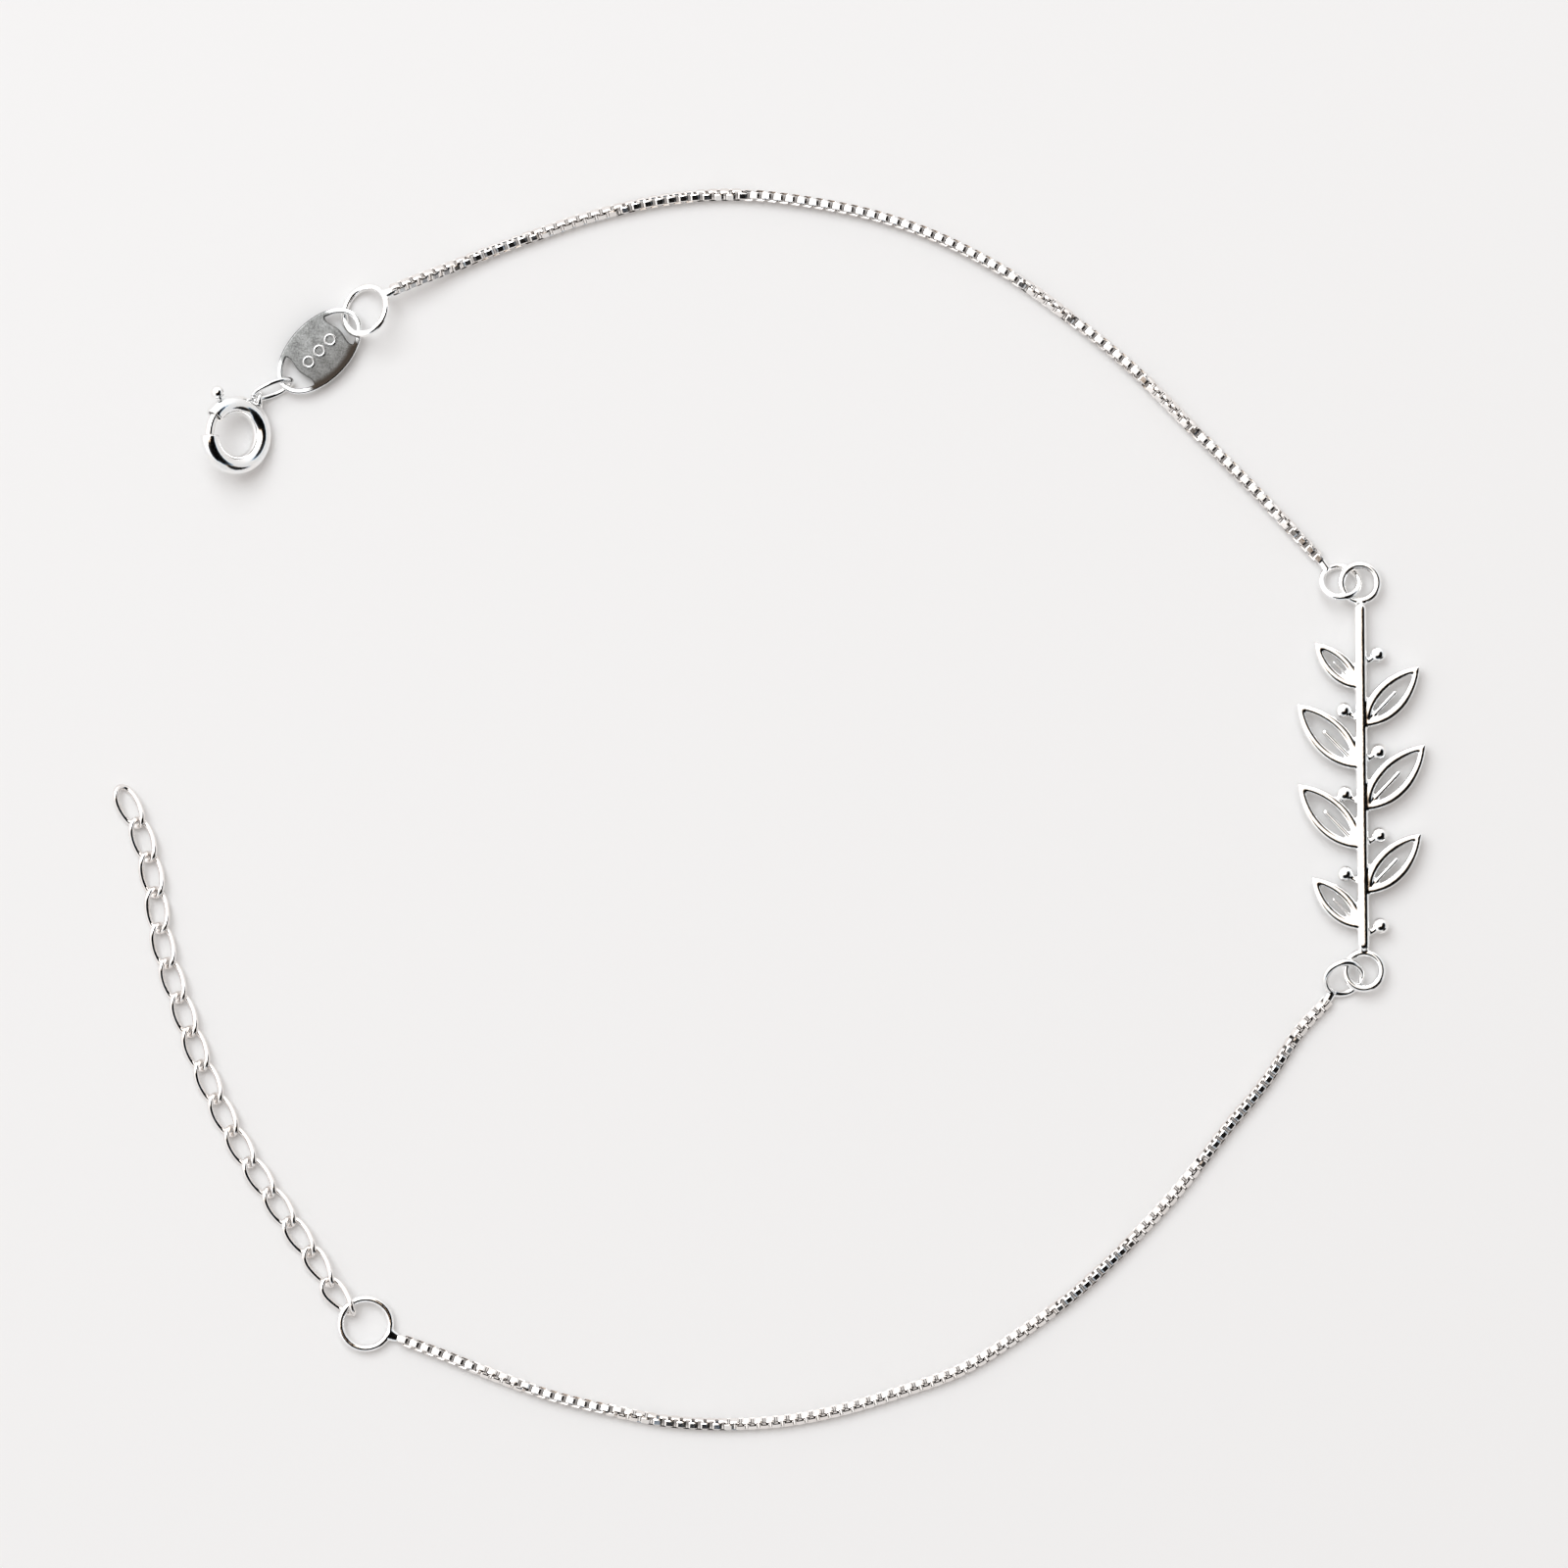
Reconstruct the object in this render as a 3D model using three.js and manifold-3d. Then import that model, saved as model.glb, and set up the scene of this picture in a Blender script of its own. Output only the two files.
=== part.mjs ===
import * as THREE from 'three';
import { mergeVertices } from 'three/addons/utils/BufferGeometryUtils.js';
import Module from 'manifold-3d';

const wasm = await Module();
wasm.setup();

// A fine silver bracelet lying open: a clasp, a stamped tag, two lengths of box chain,
// a pierced cast charm between them and a loose extender of curb links.
// Lengths are in millimetres, angles in degrees. +X runs to the right, +Y away, +Z up,
// and the pieces lie on the plane z = 0.

// Free space between pieces that hook into each other, and between a chain and its solder
const play = 0.05;
const chainGap = 0.12;

// Box chain, seen here as the round envelope of its square links
const chainWidth = 0.9;
const chainSides = 8;
const chainStepLength = 2;

// Wires and rings
const endRingOuter = 3.5;
const endRingWire = 0.45;
const jumpRingOuter = 2.75;
const jumpRingWire = 0.45;
const solderWidth = 0.95;
const solderThickness = 0.56;
const solderTip = 0.52;
const jumpSolderWidth = 0.6;
const jumpSolderReach = 0.65;
const ringSides = 6;
const ringSteps = 16;

// Clasp: a hollow ring with a slot, a sprung bolt with a thumb knob, and an eye
const claspOuter = 4.85;
const claspTube = 1.15;
const claspWall = 0.17;
const claspTilt = 35;
const claspMouthNear = 145;
const claspMouthFar = 182;
const claspBoreOverrun = 4;
const boltWire = 0.56;
const boltTravel = 40;
const boltReach = 6;
const boltTail = 17;
const knobAngle = 117;
const knobStem = 0.3;
const knobStemGap = 0.1;
const knobWidth = 0.84;
const knobHeight = 0.74;
const knobLift = 0.11;
const eyeOuter = 1.3;
const eyeWire = 0.34;
const eyeAngle = 52;
const eyeSink = 0.1;

// Link between the clasp's eye and the tag
const claspLinkLength = 2.9;
const claspLinkWidth = 1.65;
const claspLinkWire = 0.33;
const claspLinkTurn = 21.9;
const claspLinkSlope = -13.6;
const claspLinkRoll = 60.1;

// Tag: an oval plate with a half-moon hole at each end and three raised rings
const tagLength = 6.4;
const tagWidth = 3.7;
const tagThickness = 0.4;
const tagEdge = 0.1;
const tagRim = 0.34;
const tagMiddle = 3.3;
const tagTurn = 46;
const tagSlope = 1.24;
const tagRoll = 1.31;
const tagRingDirection = -27.5;
const markOuter = 0.86;
const markWire = 0.24;
const markSpacing = 0.94;

// Charm: two loops, a straight stem, open leaves and small buds
const charmLength = 23.7;
const charmThickness = 0.9;
const charmEdge = 0.16;
const stemWidth = 0.76;
const loopOuter = 2.7;
const loopWire = 0.5;
const leafLength = 5.7;
const leafWidth = 2.3;
const leafStroke = 0.56;
const leafLean = 44;
const budLean = 58;
const veinWidth = 0.36;
const budWidth = 1.02;
const budStalk = 1.25;

// Extender: curb links lying flat, each twisted so that it hooks into the next
const linkLength = 3;
const linkWidth = 1.55;
const linkWire = 0.35;
const linkTwist = 0.28;
const linkSides = 6;
const linkSteps = 16;
// The first links climb onto the ring: their lifts, as shares of two wires' passing
// distance, and their rolls
const linkLifts = [0.56, 0.29, 0.04];
const linkRolls = [-23.2, -21, -5.4];

// Where the pieces lie
const claspPlace = [-32.557, 22.88];
const tagPlace = [-27.497, 28.03];
const tagRingPlace = [-24.687, 30.475];
const charmPlace = [36.193, 2.01];
const charmTurn = 0.6;
// Which way each jump ring lies from its loop of the charm, and how far, as a share of
// their two radii. Its chain's solder then points the second way.
const upperRing = { towards: 177, share: 0.528, solder: 131 };
const lowerRing = { towards: 200.5, share: 0.585, solder: 235.4 };
const extenderRingPlace = [-24.697, -31.44];
const chainHeight = chainWidth / 2;

// Each chain's route along its middle, from the end ring as far as the jump ring's solder,
// where the ring adds the last point
const upperChainRoute = [
  [-22.917, 31.75, 1.42],
  [-21.217, 32.45, 1.2],
  [-19.217, 33.25, 0.72],
  [-16.617, 34.3, 0.49],
  [-13.817, 35.3, 0.46],
  [-11.117, 36.2, chainHeight],
  [-6.317, 37.3, chainHeight],
  [-2.017, 37.6, chainHeight],
  [2.683, 37.1, chainHeight],
  [6.883, 36.2, chainHeight],
  [10.483, 34.9, chainHeight],
  [14.683, 32.7, chainHeight],
  [18.883, 29.7, chainHeight],
  [22.483, 26.7, chainHeight],
  [26.083, 23.1, chainHeight],
  [30.283, 18.9, chainHeight],
];
const lowerChainRoute = [
  [32.383, -13.6, chainHeight],
  [30.283, -16.7, chainHeight],
  [27.883, -19.6, chainHeight],
  [24.883, -23.4, chainHeight],
  [21.883, -26.6, chainHeight],
  [18.883, -29.4, chainHeight],
  [15.283, -32.1, chainHeight],
  [11.683, -34.3, chainHeight],
  [8.083, -35.6, chainHeight],
  [4.483, -36.7, chainHeight],
  [0.883, -37.4, chainHeight],
  [-2.717, -37.6, chainHeight],
  [-6.317, -37.4, chainHeight],
  [-9.917, -36.7, chainHeight],
  [-13.517, -35.8, chainHeight],
  [-17.117, -34.5, chainHeight],
  [-20.117, -33.3, chainHeight],
  [-22.817, -32.3, chainHeight],
];
// The extender's route starts at its ring's middle, and each link's middle lies on it
const extenderRoute = [
  [-24.697, -31.44],
  [-26.417, -29.7],
  [-27.617, -27.8],
  [-30.017, -24.25],
  [-32.317, -20.7],
  [-34.267, -16.75],
  [-35.767, -12.6],
  [-37.067, -8.4],
  [-37.767, -4.05],
  [-38.307, -1.86],
  [-39.197, 0.25],
  [-40.447, 2.1],
];

const radians = THREE.MathUtils.degToRad;
const degrees = THREE.MathUtils.radToDeg;
const up = new THREE.Vector3(0, 0, 1);

// Materials
function polishedSilver() {
  return new THREE.MeshStandardMaterial({ color: 0xefeeec, roughness: 0.12, metalness: 1 });
}

function satinTagSilver() {
  return new THREE.MeshStandardMaterial({ color: 0x8d8c8a, roughness: 0.45, metalness: 1 });
}

// Closed geometry to solid and back
function solidOf(geometry) {
  const bare = geometry.index ? geometry.clone() : geometry;
  bare.deleteAttribute('normal');
  bare.deleteAttribute('uv');
  const merged = mergeVertices(bare, 1e-5);
  return new wasm.Manifold(new wasm.Mesh({
    numProp: 3,
    vertProperties: new Float32Array(merged.attributes.position.array),
    triVerts: new Uint32Array(merged.index.array),
  }));
}

function geometryOf(solid) {
  const mesh = solid.getMesh();
  const geometry = new THREE.BufferGeometry();
  geometry.setAttribute('position', new THREE.BufferAttribute(mesh.vertProperties, 3));
  geometry.setIndex(new THREE.BufferAttribute(mesh.triVerts, 1));
  geometry.computeVertexNormals();
  return geometry;
}

function joined(geometries) {
  return geometries.map(solidOf).reduce((whole, solid) => whole.add(solid));
}

function namedMesh(name, geometry, material) {
  const mesh = new THREE.Mesh(geometry, material);
  mesh.name = name;
  return mesh;
}

// An upright n-sided section, and one with a round hole in it
function roundShape(radius, sides, holeRadius = 0) {
  const corner = (r, i) => {
    const angle = (i / sides) * Math.PI * 2;
    return new THREE.Vector2(r * Math.cos(angle), r * Math.sin(angle));
  };
  const ring = (r) => Array.from({ length: sides }, (unused, i) => corner(r, i));
  const shape = new THREE.Shape(ring(radius));
  if (holeRadius > 0) {
    shape.holes.push(new THREE.Path(ring(holeRadius)));
  }
  return shape;
}

// A stretch of a circle in the XY plane, between two angles
class ArcCurve extends THREE.Curve {
  constructor(radius, from, to) {
    super();
    this.radius = radius;
    this.from = radians(from);
    this.to = radians(to);
  }

  getPoint(t, target = new THREE.Vector3()) {
    const angle = this.from + (this.to - this.from) * t;
    return target.set(this.radius * Math.cos(angle), this.radius * Math.sin(angle), 0);
  }
}

// The middle line of an oval link: an ellipse whose four quarters rise and fall in turn
class LinkCurve extends THREE.Curve {
  constructor(halfLength, halfWidth, rise) {
    super();
    this.halfLength = halfLength;
    this.halfWidth = halfWidth;
    this.rise = rise;
  }

  getPoint(t, target = new THREE.Vector3()) {
    const angle = t * Math.PI * 2;
    return target.set(
      this.halfLength * Math.cos(angle),
      this.halfWidth * Math.sin(angle),
      this.rise * Math.sin(2 * angle),
    );
  }

  // Steps are even in angle, so the tight ends keep their share of them
  getPointAt(t, target) {
    return this.getPoint(t, target);
  }

  getTangentAt(t, target) {
    return this.getTangent(t, target);
  }
}

// A round bar from one point to another, thicker or flatter at will
function taperBetween(from, to, fromWidth, toWidth, flatness, flatDirection) {
  const along = new THREE.Vector3().subVectors(to, from);
  const length = along.length();
  const geometry = new THREE.CylinderGeometry(toWidth / 2, fromWidth / 2, length, 10);
  geometry.rotateX(Math.PI / 2);
  geometry.scale(1, flatness, 1);
  const forward = along.clone().normalize();
  const side = new THREE.Vector3().crossVectors(flatDirection, forward).normalize();
  const flat = new THREE.Vector3().crossVectors(forward, side);
  const turn = new THREE.Matrix4().makeBasis(side, flat, forward);
  turn.setPosition(from.clone().add(to).multiplyScalar(0.5));
  geometry.applyMatrix4(turn);
  return geometry;
}

// A round wire ring whose plane slopes up by tilt towards the direction upTowards
function ringMatrix(place, height, tilt, upTowards) {
  const matrix = new THREE.Matrix4().makeTranslation(place[0], place[1], height);
  matrix.multiply(new THREE.Matrix4().makeRotationZ(radians(upTowards)));
  matrix.multiply(new THREE.Matrix4().makeRotationY(radians(-tilt)));
  matrix.multiply(new THREE.Matrix4().makeRotationZ(radians(-upTowards)));
  return matrix;
}

// A ring with the drop of solder that holds the chain's end. The drop starts in the wire
// at the point nearest to the chain and ends just short of it.
function solderedRing(name, outer, wire, matrix, chainStart, drop) {
  const radius = (outer - wire) / 2;
  const ring = new THREE.TorusGeometry(radius, wire / 2, ringSides, ringSteps);
  ring.applyMatrix4(matrix);
  const centre = new THREE.Vector3().setFromMatrixPosition(matrix);
  const normal = up.clone().transformDirection(matrix);
  const start = new THREE.Vector3(...chainStart);
  const inPlane = start.clone().sub(centre).projectOnPlane(normal).setLength(radius);
  const root = centre.clone().add(inPlane);
  const reach = start.clone().sub(root);
  const tip = root.clone().add(reach.setLength(reach.length() - chainGap));
  const solder = taperBetween(root, tip, drop.width, drop.tip, drop.flatness, normal);
  return namedMesh(name, geometryOf(joined([ring, solder])), polishedSilver());
}

// One length of box chain
function chainLength(name, route) {
  const points = route.map((point) => new THREE.Vector3(...point));
  const curve = new THREE.CatmullRomCurve3(points, false, 'centripetal');
  const steps = Math.ceil(curve.getLength() / chainStepLength);
  const section = roundShape(chainWidth / 2, chainSides);
  const geometry = new THREE.ExtrudeGeometry(section, {
    steps, extrudePath: curve, bevelEnabled: false,
  });
  return namedMesh(name, geometryOf(solidOf(geometry)), polishedSilver());
}

// How far apart two crossing wires' middle lines lie
function passing(oneThickness, otherThickness) {
  return (oneThickness + otherThickness) / 2 + play;
}

// Clasp. Its own plane is XY and its middle the origin, and the whole is tilted at the end.
function buildClasp() {
  const ringRadius = (claspOuter - claspTube) / 2;
  const boreRadius = claspTube / 2 - claspWall;
  const tubeSides = 12;
  const tubeSteps = 30;
  const tubeFrom = claspMouthFar;
  const tubeTo = claspMouthNear + 360;
  const tubePath = new ArcCurve(ringRadius, tubeFrom, tubeTo);
  const borePath = new ArcCurve(
    ringRadius, tubeFrom - claspBoreOverrun, tubeTo + claspBoreOverrun,
  );
  const tube = new THREE.ExtrudeGeometry(roundShape(claspTube / 2, tubeSides), {
    steps: tubeSteps, extrudePath: tubePath, bevelEnabled: false,
  });
  const bore = new THREE.ExtrudeGeometry(roundShape(boreRadius, tubeSides), {
    steps: tubeSteps, extrudePath: borePath, bevelEnabled: false,
  });

  // The eye stands upright on the tilted tube, so it is turned back by the tilt
  const tilt = radians(claspTilt);
  const eyeRadius = (eyeOuter - eyeWire) / 2;
  const eye = new THREE.TorusGeometry(eyeRadius, eyeWire / 2, ringSides, ringSteps);
  eye.rotateY(Math.PI / 2);
  eye.rotateY(-tilt);
  const eyeDistance = ringRadius + claspTube / 2 + eyeRadius - eyeSink;
  const eyeAt = new THREE.Vector3(
    eyeDistance * Math.cos(radians(eyeAngle)),
    eyeDistance * Math.sin(radians(eyeAngle)),
    0,
  );
  eye.translate(eyeAt.x, eyeAt.y, eyeAt.z);

  // The slot that the knob's stem runs in
  const stemRadius = ringRadius + claspTube / 2;
  const stemAngle = degrees((knobStem / 2 + knobStemGap) / stemRadius);
  const slotFrom = radians(knobAngle - boltTravel - stemAngle);
  const slotTo = radians(knobAngle + stemAngle);
  const slotWidth = knobStem + 2 * knobStemGap;
  const slotShape = new THREE.Shape();
  slotShape.absarc(0, 0, ringRadius + claspTube, slotFrom, slotTo, false);
  slotShape.absarc(0, 0, ringRadius + boreRadius / 3, slotTo, slotFrom, true);
  const slot = new THREE.ExtrudeGeometry(slotShape, {
    depth: slotWidth, bevelEnabled: false, curveSegments: 8,
  });
  slot.translate(0, 0, -slotWidth / 2);

  const ring = joined([tube, eye]).subtract(solidOf(bore)).subtract(solidOf(slot));

  // The bolt closes the mouth and reaches a little way into the far end of the tube
  const boltPath = new ArcCurve(ringRadius, knobAngle - boltTail, claspMouthFar + boltReach);
  const bolt = new THREE.ExtrudeGeometry(roundShape(boltWire / 2, 8), {
    steps: 10, extrudePath: boltPath, bevelEnabled: false,
  });
  const headFoot = claspTube / 2 + knobLift;
  const headTop = headFoot + knobHeight;
  const knob = new THREE.LatheGeometry([
    new THREE.Vector2(0, 0),
    new THREE.Vector2(knobStem / 2, 0),
    new THREE.Vector2(knobStem / 2, headFoot),
    new THREE.Vector2(knobWidth * 0.38, headFoot),
    new THREE.Vector2(knobWidth / 2, headFoot + knobHeight * 0.3),
    new THREE.Vector2(knobWidth / 2, headFoot + knobHeight * 0.62),
    new THREE.Vector2(knobWidth * 0.36, headFoot + knobHeight * 0.9),
    new THREE.Vector2(knobWidth * 0.18, headTop),
    new THREE.Vector2(0, headTop),
  ], 12);
  knob.translate(0, ringRadius, 0);
  knob.rotateZ(radians(knobAngle - 90));
  const boltSolid = joined([bolt, knob]);

  const height = ringRadius * Math.sin(tilt) + claspTube / 2 + play / 5;
  const clasp = new THREE.Group();
  clasp.position.set(claspPlace[0], claspPlace[1], height);
  clasp.rotation.y = tilt;
  clasp.add(namedMesh('clasp_ring', geometryOf(ring), polishedSilver()));
  clasp.add(namedMesh('clasp_bolt', geometryOf(boltSolid), polishedSilver()));
  clasp.updateMatrixWorld(true);
  return { clasp, eyeMiddle: eyeAt.clone().applyMatrix4(clasp.matrixWorld) };
}

// Tag. Its long way is X and its middle the origin.
function halfMoon(side) {
  const halfLength = tagLength / 2 - tagRim;
  const halfWidth = tagWidth / 2 - tagRim;
  const middle = tagMiddle / 2;
  const corner = 0.18 * tagRim;
  const lastAngle = Math.acos((middle + corner) / halfLength);
  const lastWidth = halfWidth * Math.sin(lastAngle);
  const outline = new THREE.Path();
  outline.absellipse(0, 0, halfLength, halfWidth, -lastAngle, lastAngle, false, 0);
  const inner = middle;
  const bulge = middle + 0.12;
  outline.bezierCurveTo(
    inner - 0.2, lastWidth * 0.72, bulge, lastWidth * 0.4, bulge, 0,
  );
  outline.bezierCurveTo(
    bulge, -lastWidth * 0.4, inner - 0.2, -lastWidth * 0.72,
    middle + corner, -lastWidth,
  );
  const points = outline.getPoints(7);
  return new THREE.Path(points.map((point) => new THREE.Vector2(side * point.x, point.y)));
}

function buildTag(matrix) {
  const outline = new THREE.Shape();
  outline.absellipse(0, 0, tagLength / 2, tagWidth / 2, 0, Math.PI * 2, false, 0);
  outline.holes.push(halfMoon(1));
  outline.holes.push(halfMoon(-1));
  const plate = new THREE.ExtrudeGeometry(outline, {
    depth: tagThickness - 2 * tagEdge,
    bevelEnabled: true,
    bevelThickness: tagEdge,
    bevelSize: tagEdge,
    bevelOffset: -tagEdge,
    bevelSegments: 1,
    curveSegments: 18,
  });
  plate.translate(0, 0, tagEdge - tagThickness / 2);
  const marks = [-1, 0, 1].map((step) => {
    const radius = (markOuter - markWire) / 2;
    const mark = new THREE.TorusGeometry(radius, markWire / 2, 6, 12);
    mark.translate(0, step * markSpacing, tagThickness / 2);
    mark.rotateZ(-Math.PI / 2);
    return mark;
  });
  const tag = geometryOf(joined([plate, ...marks]));
  tag.applyMatrix4(matrix);
  return namedMesh('tag', tag, satinTagSilver());
}

// Charm. Its stem runs along Y and its middle is the origin.
function bevelled(shape, thickness, edge, curveSegments) {
  const geometry = new THREE.ExtrudeGeometry(shape, {
    depth: thickness - 2 * edge,
    bevelEnabled: true,
    bevelThickness: edge,
    bevelSize: edge,
    bevelOffset: -edge,
    bevelSegments: 1,
    curveSegments,
  });
  geometry.translate(0, 0, edge - thickness / 2);
  return geometry;
}

function barShape(length, width) {
  const shape = new THREE.Shape();
  const radius = width / 2;
  shape.absarc(length - radius, 0, radius, -Math.PI / 2, Math.PI / 2, false);
  shape.absarc(radius, 0, radius, Math.PI / 2, Math.PI * 1.5, false);
  return shape;
}

function almondPath(path, from, to, halfWidth) {
  const length = to - from;
  const pull = halfWidth / 0.75;
  path.moveTo(from, 0);
  path.bezierCurveTo(from + 0.26 * length, -pull, from + 0.68 * length, -pull, to, 0);
  path.bezierCurveTo(from + 0.68 * length, pull, from + 0.26 * length, pull, from, 0);
  return path;
}

function leafSolid(length) {
  const width = leafWidth * (length / leafLength);
  const outline = almondPath(new THREE.Shape(), 0, length, width / 2);
  const inside = new THREE.Path();
  almondPath(inside, leafStroke * 1.5, length - leafStroke * 1.35, width / 2 - leafStroke);
  outline.holes.push(inside);
  const leaf = solidOf(bevelled(outline, charmThickness * 0.9, charmEdge * 0.8, 6));
  const vein = bevelled(barShape(length * 0.6, veinWidth), charmThickness * 0.7, 0.08, 3);
  return leaf.add(solidOf(vein));
}

// One row for each leaf or bud: which side, and where on the stem it springs from
const leaves = [
  { side: -1, foot: 0.06, size: 0.8 },
  { side: 1, foot: 0.16, size: 0.92 },
  { side: -1, foot: 0.29, size: 1 },
  { side: 1, foot: 0.4, size: 1 },
  { side: -1, foot: 0.52, size: 1 },
  { side: 1, foot: 0.64, size: 0.92 },
  { side: -1, foot: 0.75, size: 0.72 },
];
const buds = [
  { side: 1, foot: 0.04 },
  { side: -1, foot: 0.19 },
  { side: 1, foot: 0.3 },
  { side: -1, foot: 0.42 },
  { side: 1, foot: 0.54 },
  { side: -1, foot: 0.66 },
  { side: 1, foot: 0.82 },
];

function sprig(solid, side, foot, lean, stemLength) {
  const turn = 90 - side * lean;
  return solid.rotate([0, 0, turn]).translate([0, (foot - 0.5) * stemLength, 0]);
}

function buildCharm(matrix) {
  const loopRadius = (loopOuter - loopWire) / 2;
  const stemLength = charmLength - 2 * loopRadius - loopWire / 2;
  const bar = bevelled(barShape(stemLength, stemWidth), charmThickness, charmEdge, 4);
  bar.translate(-stemLength / 2, 0, 0);
  bar.rotateZ(Math.PI / 2);
  let charm = solidOf(bar);
  for (const end of [-1, 1]) {
    const loop = new THREE.TorusGeometry(loopRadius, loopWire / 2, 8, ringSteps);
    loop.translate(0, end * charmLength / 2, 0);
    charm = charm.add(solidOf(loop));
  }
  for (const leaf of leaves) {
    const solid = leafSolid(leafLength * leaf.size);
    charm = charm.add(sprig(solid, leaf.side, leaf.foot, leafLean, stemLength));
  }
  for (const bud of buds) {
    const stalk = solidOf(bevelled(barShape(budStalk, veinWidth), charmThickness * 0.6, 0.08, 3));
    const ball = new THREE.SphereGeometry(budWidth / 2, 10, 7);
    ball.rotateX(Math.PI / 2);
    ball.scale(1, 1, 0.84);
    ball.translate(budStalk, 0, 0);
    const solid = stalk.add(solidOf(ball));
    charm = charm.add(sprig(solid, bud.side, bud.foot, budLean, stemLength));
  }
  const geometry = geometryOf(charm);
  geometry.applyMatrix4(matrix);
  return namedMesh('charm', geometry, polishedSilver());
}

// Extender links. The wire's middle line is set in by half the wire from the outer size.
function linkGeometry(length, width, wire, rise) {
  const curve = new LinkCurve((length - wire) / 2, (width - wire) / 2, rise);
  return new THREE.TubeGeometry(curve, linkSteps, wire / 2, linkSides, true);
}

// A link's matrix: its long way along forward, its broad side level, then rolled
function linkMatrix(middle, forward, roll) {
  const along = forward.clone().normalize();
  const side = new THREE.Vector3().crossVectors(up, along).normalize();
  const above = new THREE.Vector3().crossVectors(along, side);
  const matrix = new THREE.Matrix4().makeBasis(along, side, above);
  matrix.multiply(new THREE.Matrix4().makeRotationX(radians(roll)));
  matrix.setPosition(middle);
  return matrix;
}

function linkMesh(name, geometry, matrix) {
  const shaped = geometry.clone();
  shaped.applyMatrix4(matrix);
  return namedMesh(name, geometryOf(solidOf(shaped)), polishedSilver());
}

const bracelet = new THREE.Group();

// Charm and the two jump rings that hold its loops. Each ring leans so that it passes under
// the loop on one side and over it on the other.
const loopRadius = (loopOuter - loopWire) / 2;
const jumpRadius = (jumpRingOuter - jumpRingWire) / 2;
const charmMatrix = new THREE.Matrix4().makeRotationZ(radians(charmTurn));
const loopMiddles = [1, -1].map((end) => {
  const middle = new THREE.Vector3(0, end * charmLength / 2, 0).applyMatrix4(charmMatrix);
  return middle.add(new THREE.Vector3(...charmPlace, 0));
});

function jumpTilt(ringPlace, loopMiddle) {
  const apart = Math.hypot(loopMiddle.x - ringPlace[0], loopMiddle.y - ringPlace[1]);
  const towards = (apart ** 2 + jumpRadius ** 2 - loopRadius ** 2) / (2 * apart);
  const halfChord = Math.sqrt(jumpRadius ** 2 - towards ** 2);
  return degrees(Math.asin(passing(jumpRingWire, loopWire) / halfChord));
}

function directionTo(ringPlace, loopMiddle) {
  const angle = Math.atan2(loopMiddle.y - ringPlace[1], loopMiddle.x - ringPlace[0]);
  return degrees(angle);
}

function besideLoop(loopMiddle, ring) {
  const apart = ring.share * (jumpRadius + loopRadius);
  const angle = radians(ring.towards);
  return [loopMiddle.x + apart * Math.cos(angle), loopMiddle.y + apart * Math.sin(angle)];
}

function chainEnd(ringPlace, ring) {
  const reach = jumpRadius + jumpSolderReach;
  const angle = radians(ring.solder);
  const end = [ringPlace[0] + reach * Math.cos(angle), ringPlace[1] + reach * Math.sin(angle)];
  return [...end, chainHeight];
}

const upperRingPlace = besideLoop(loopMiddles[0], upperRing);
const lowerRingPlace = besideLoop(loopMiddles[1], lowerRing);
const upperTilt = jumpTilt(upperRingPlace, loopMiddles[0]);
const lowerTilt = jumpTilt(lowerRingPlace, loopMiddles[1]);
const steepest = radians(Math.max(upperTilt, lowerTilt));
const charmHeight = jumpRadius * Math.sin(steepest) + jumpRingWire / 2;
charmMatrix.setPosition(charmPlace[0], charmPlace[1], charmHeight);
bracelet.add(buildCharm(charmMatrix));

const jumpDrop = {
  width: jumpSolderWidth, tip: solderTip, flatness: solderThickness / jumpSolderWidth,
};
const upperDirection = directionTo(upperRingPlace, loopMiddles[0]) - 90;
const upperRingMatrix = ringMatrix(upperRingPlace, charmHeight, upperTilt, upperDirection);
const upperChainEnd = chainEnd(upperRingPlace, upperRing);
bracelet.add(solderedRing(
  'jump_ring_upper', jumpRingOuter, jumpRingWire, upperRingMatrix, upperChainEnd, jumpDrop,
));
const lowerDirection = directionTo(lowerRingPlace, loopMiddles[1]) + 90;
const lowerRingMatrix = ringMatrix(lowerRingPlace, charmHeight, lowerTilt, lowerDirection);
const lowerChainEnd = chainEnd(lowerRingPlace, lowerRing);
bracelet.add(solderedRing(
  'jump_ring_lower', jumpRingOuter, jumpRingWire, lowerRingMatrix, lowerChainEnd, jumpDrop,
));

// Chains
bracelet.add(chainLength('chain_upper', [...upperChainRoute, upperChainEnd]));
bracelet.add(chainLength('chain_lower', [lowerChainEnd, ...lowerChainRoute]));

// Tag, lifted by the wires that pass under its ends, and the ring through its upper hole
const endRadius = (endRingOuter - endRingWire) / 2;
const tagHeight = endRingWire + play * 1.5 + tagThickness / 2;
const tagMatrix = new THREE.Matrix4().makeRotationZ(radians(tagTurn));
tagMatrix.multiply(new THREE.Matrix4().makeRotationY(radians(-tagSlope)));
tagMatrix.multiply(new THREE.Matrix4().makeRotationX(radians(tagRoll)));
tagMatrix.setPosition(tagPlace[0], tagPlace[1], tagHeight);
bracelet.add(buildTag(tagMatrix));

const tagRingTilt = degrees(Math.asin(passing(endRingWire, tagThickness) / (0.54 * endRadius)));
const tagRingHeight = endRadius * Math.sin(radians(tagRingTilt)) + endRingWire / 2 + 0.02;
const endDrop = {
  width: solderWidth, tip: solderTip, flatness: solderThickness / solderWidth,
};
bracelet.add(solderedRing(
  'tag_ring', endRingOuter, endRingWire,
  ringMatrix(tagRingPlace, tagRingHeight, tagRingTilt, tagRingDirection),
  upperChainRoute[0], endDrop,
));

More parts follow.
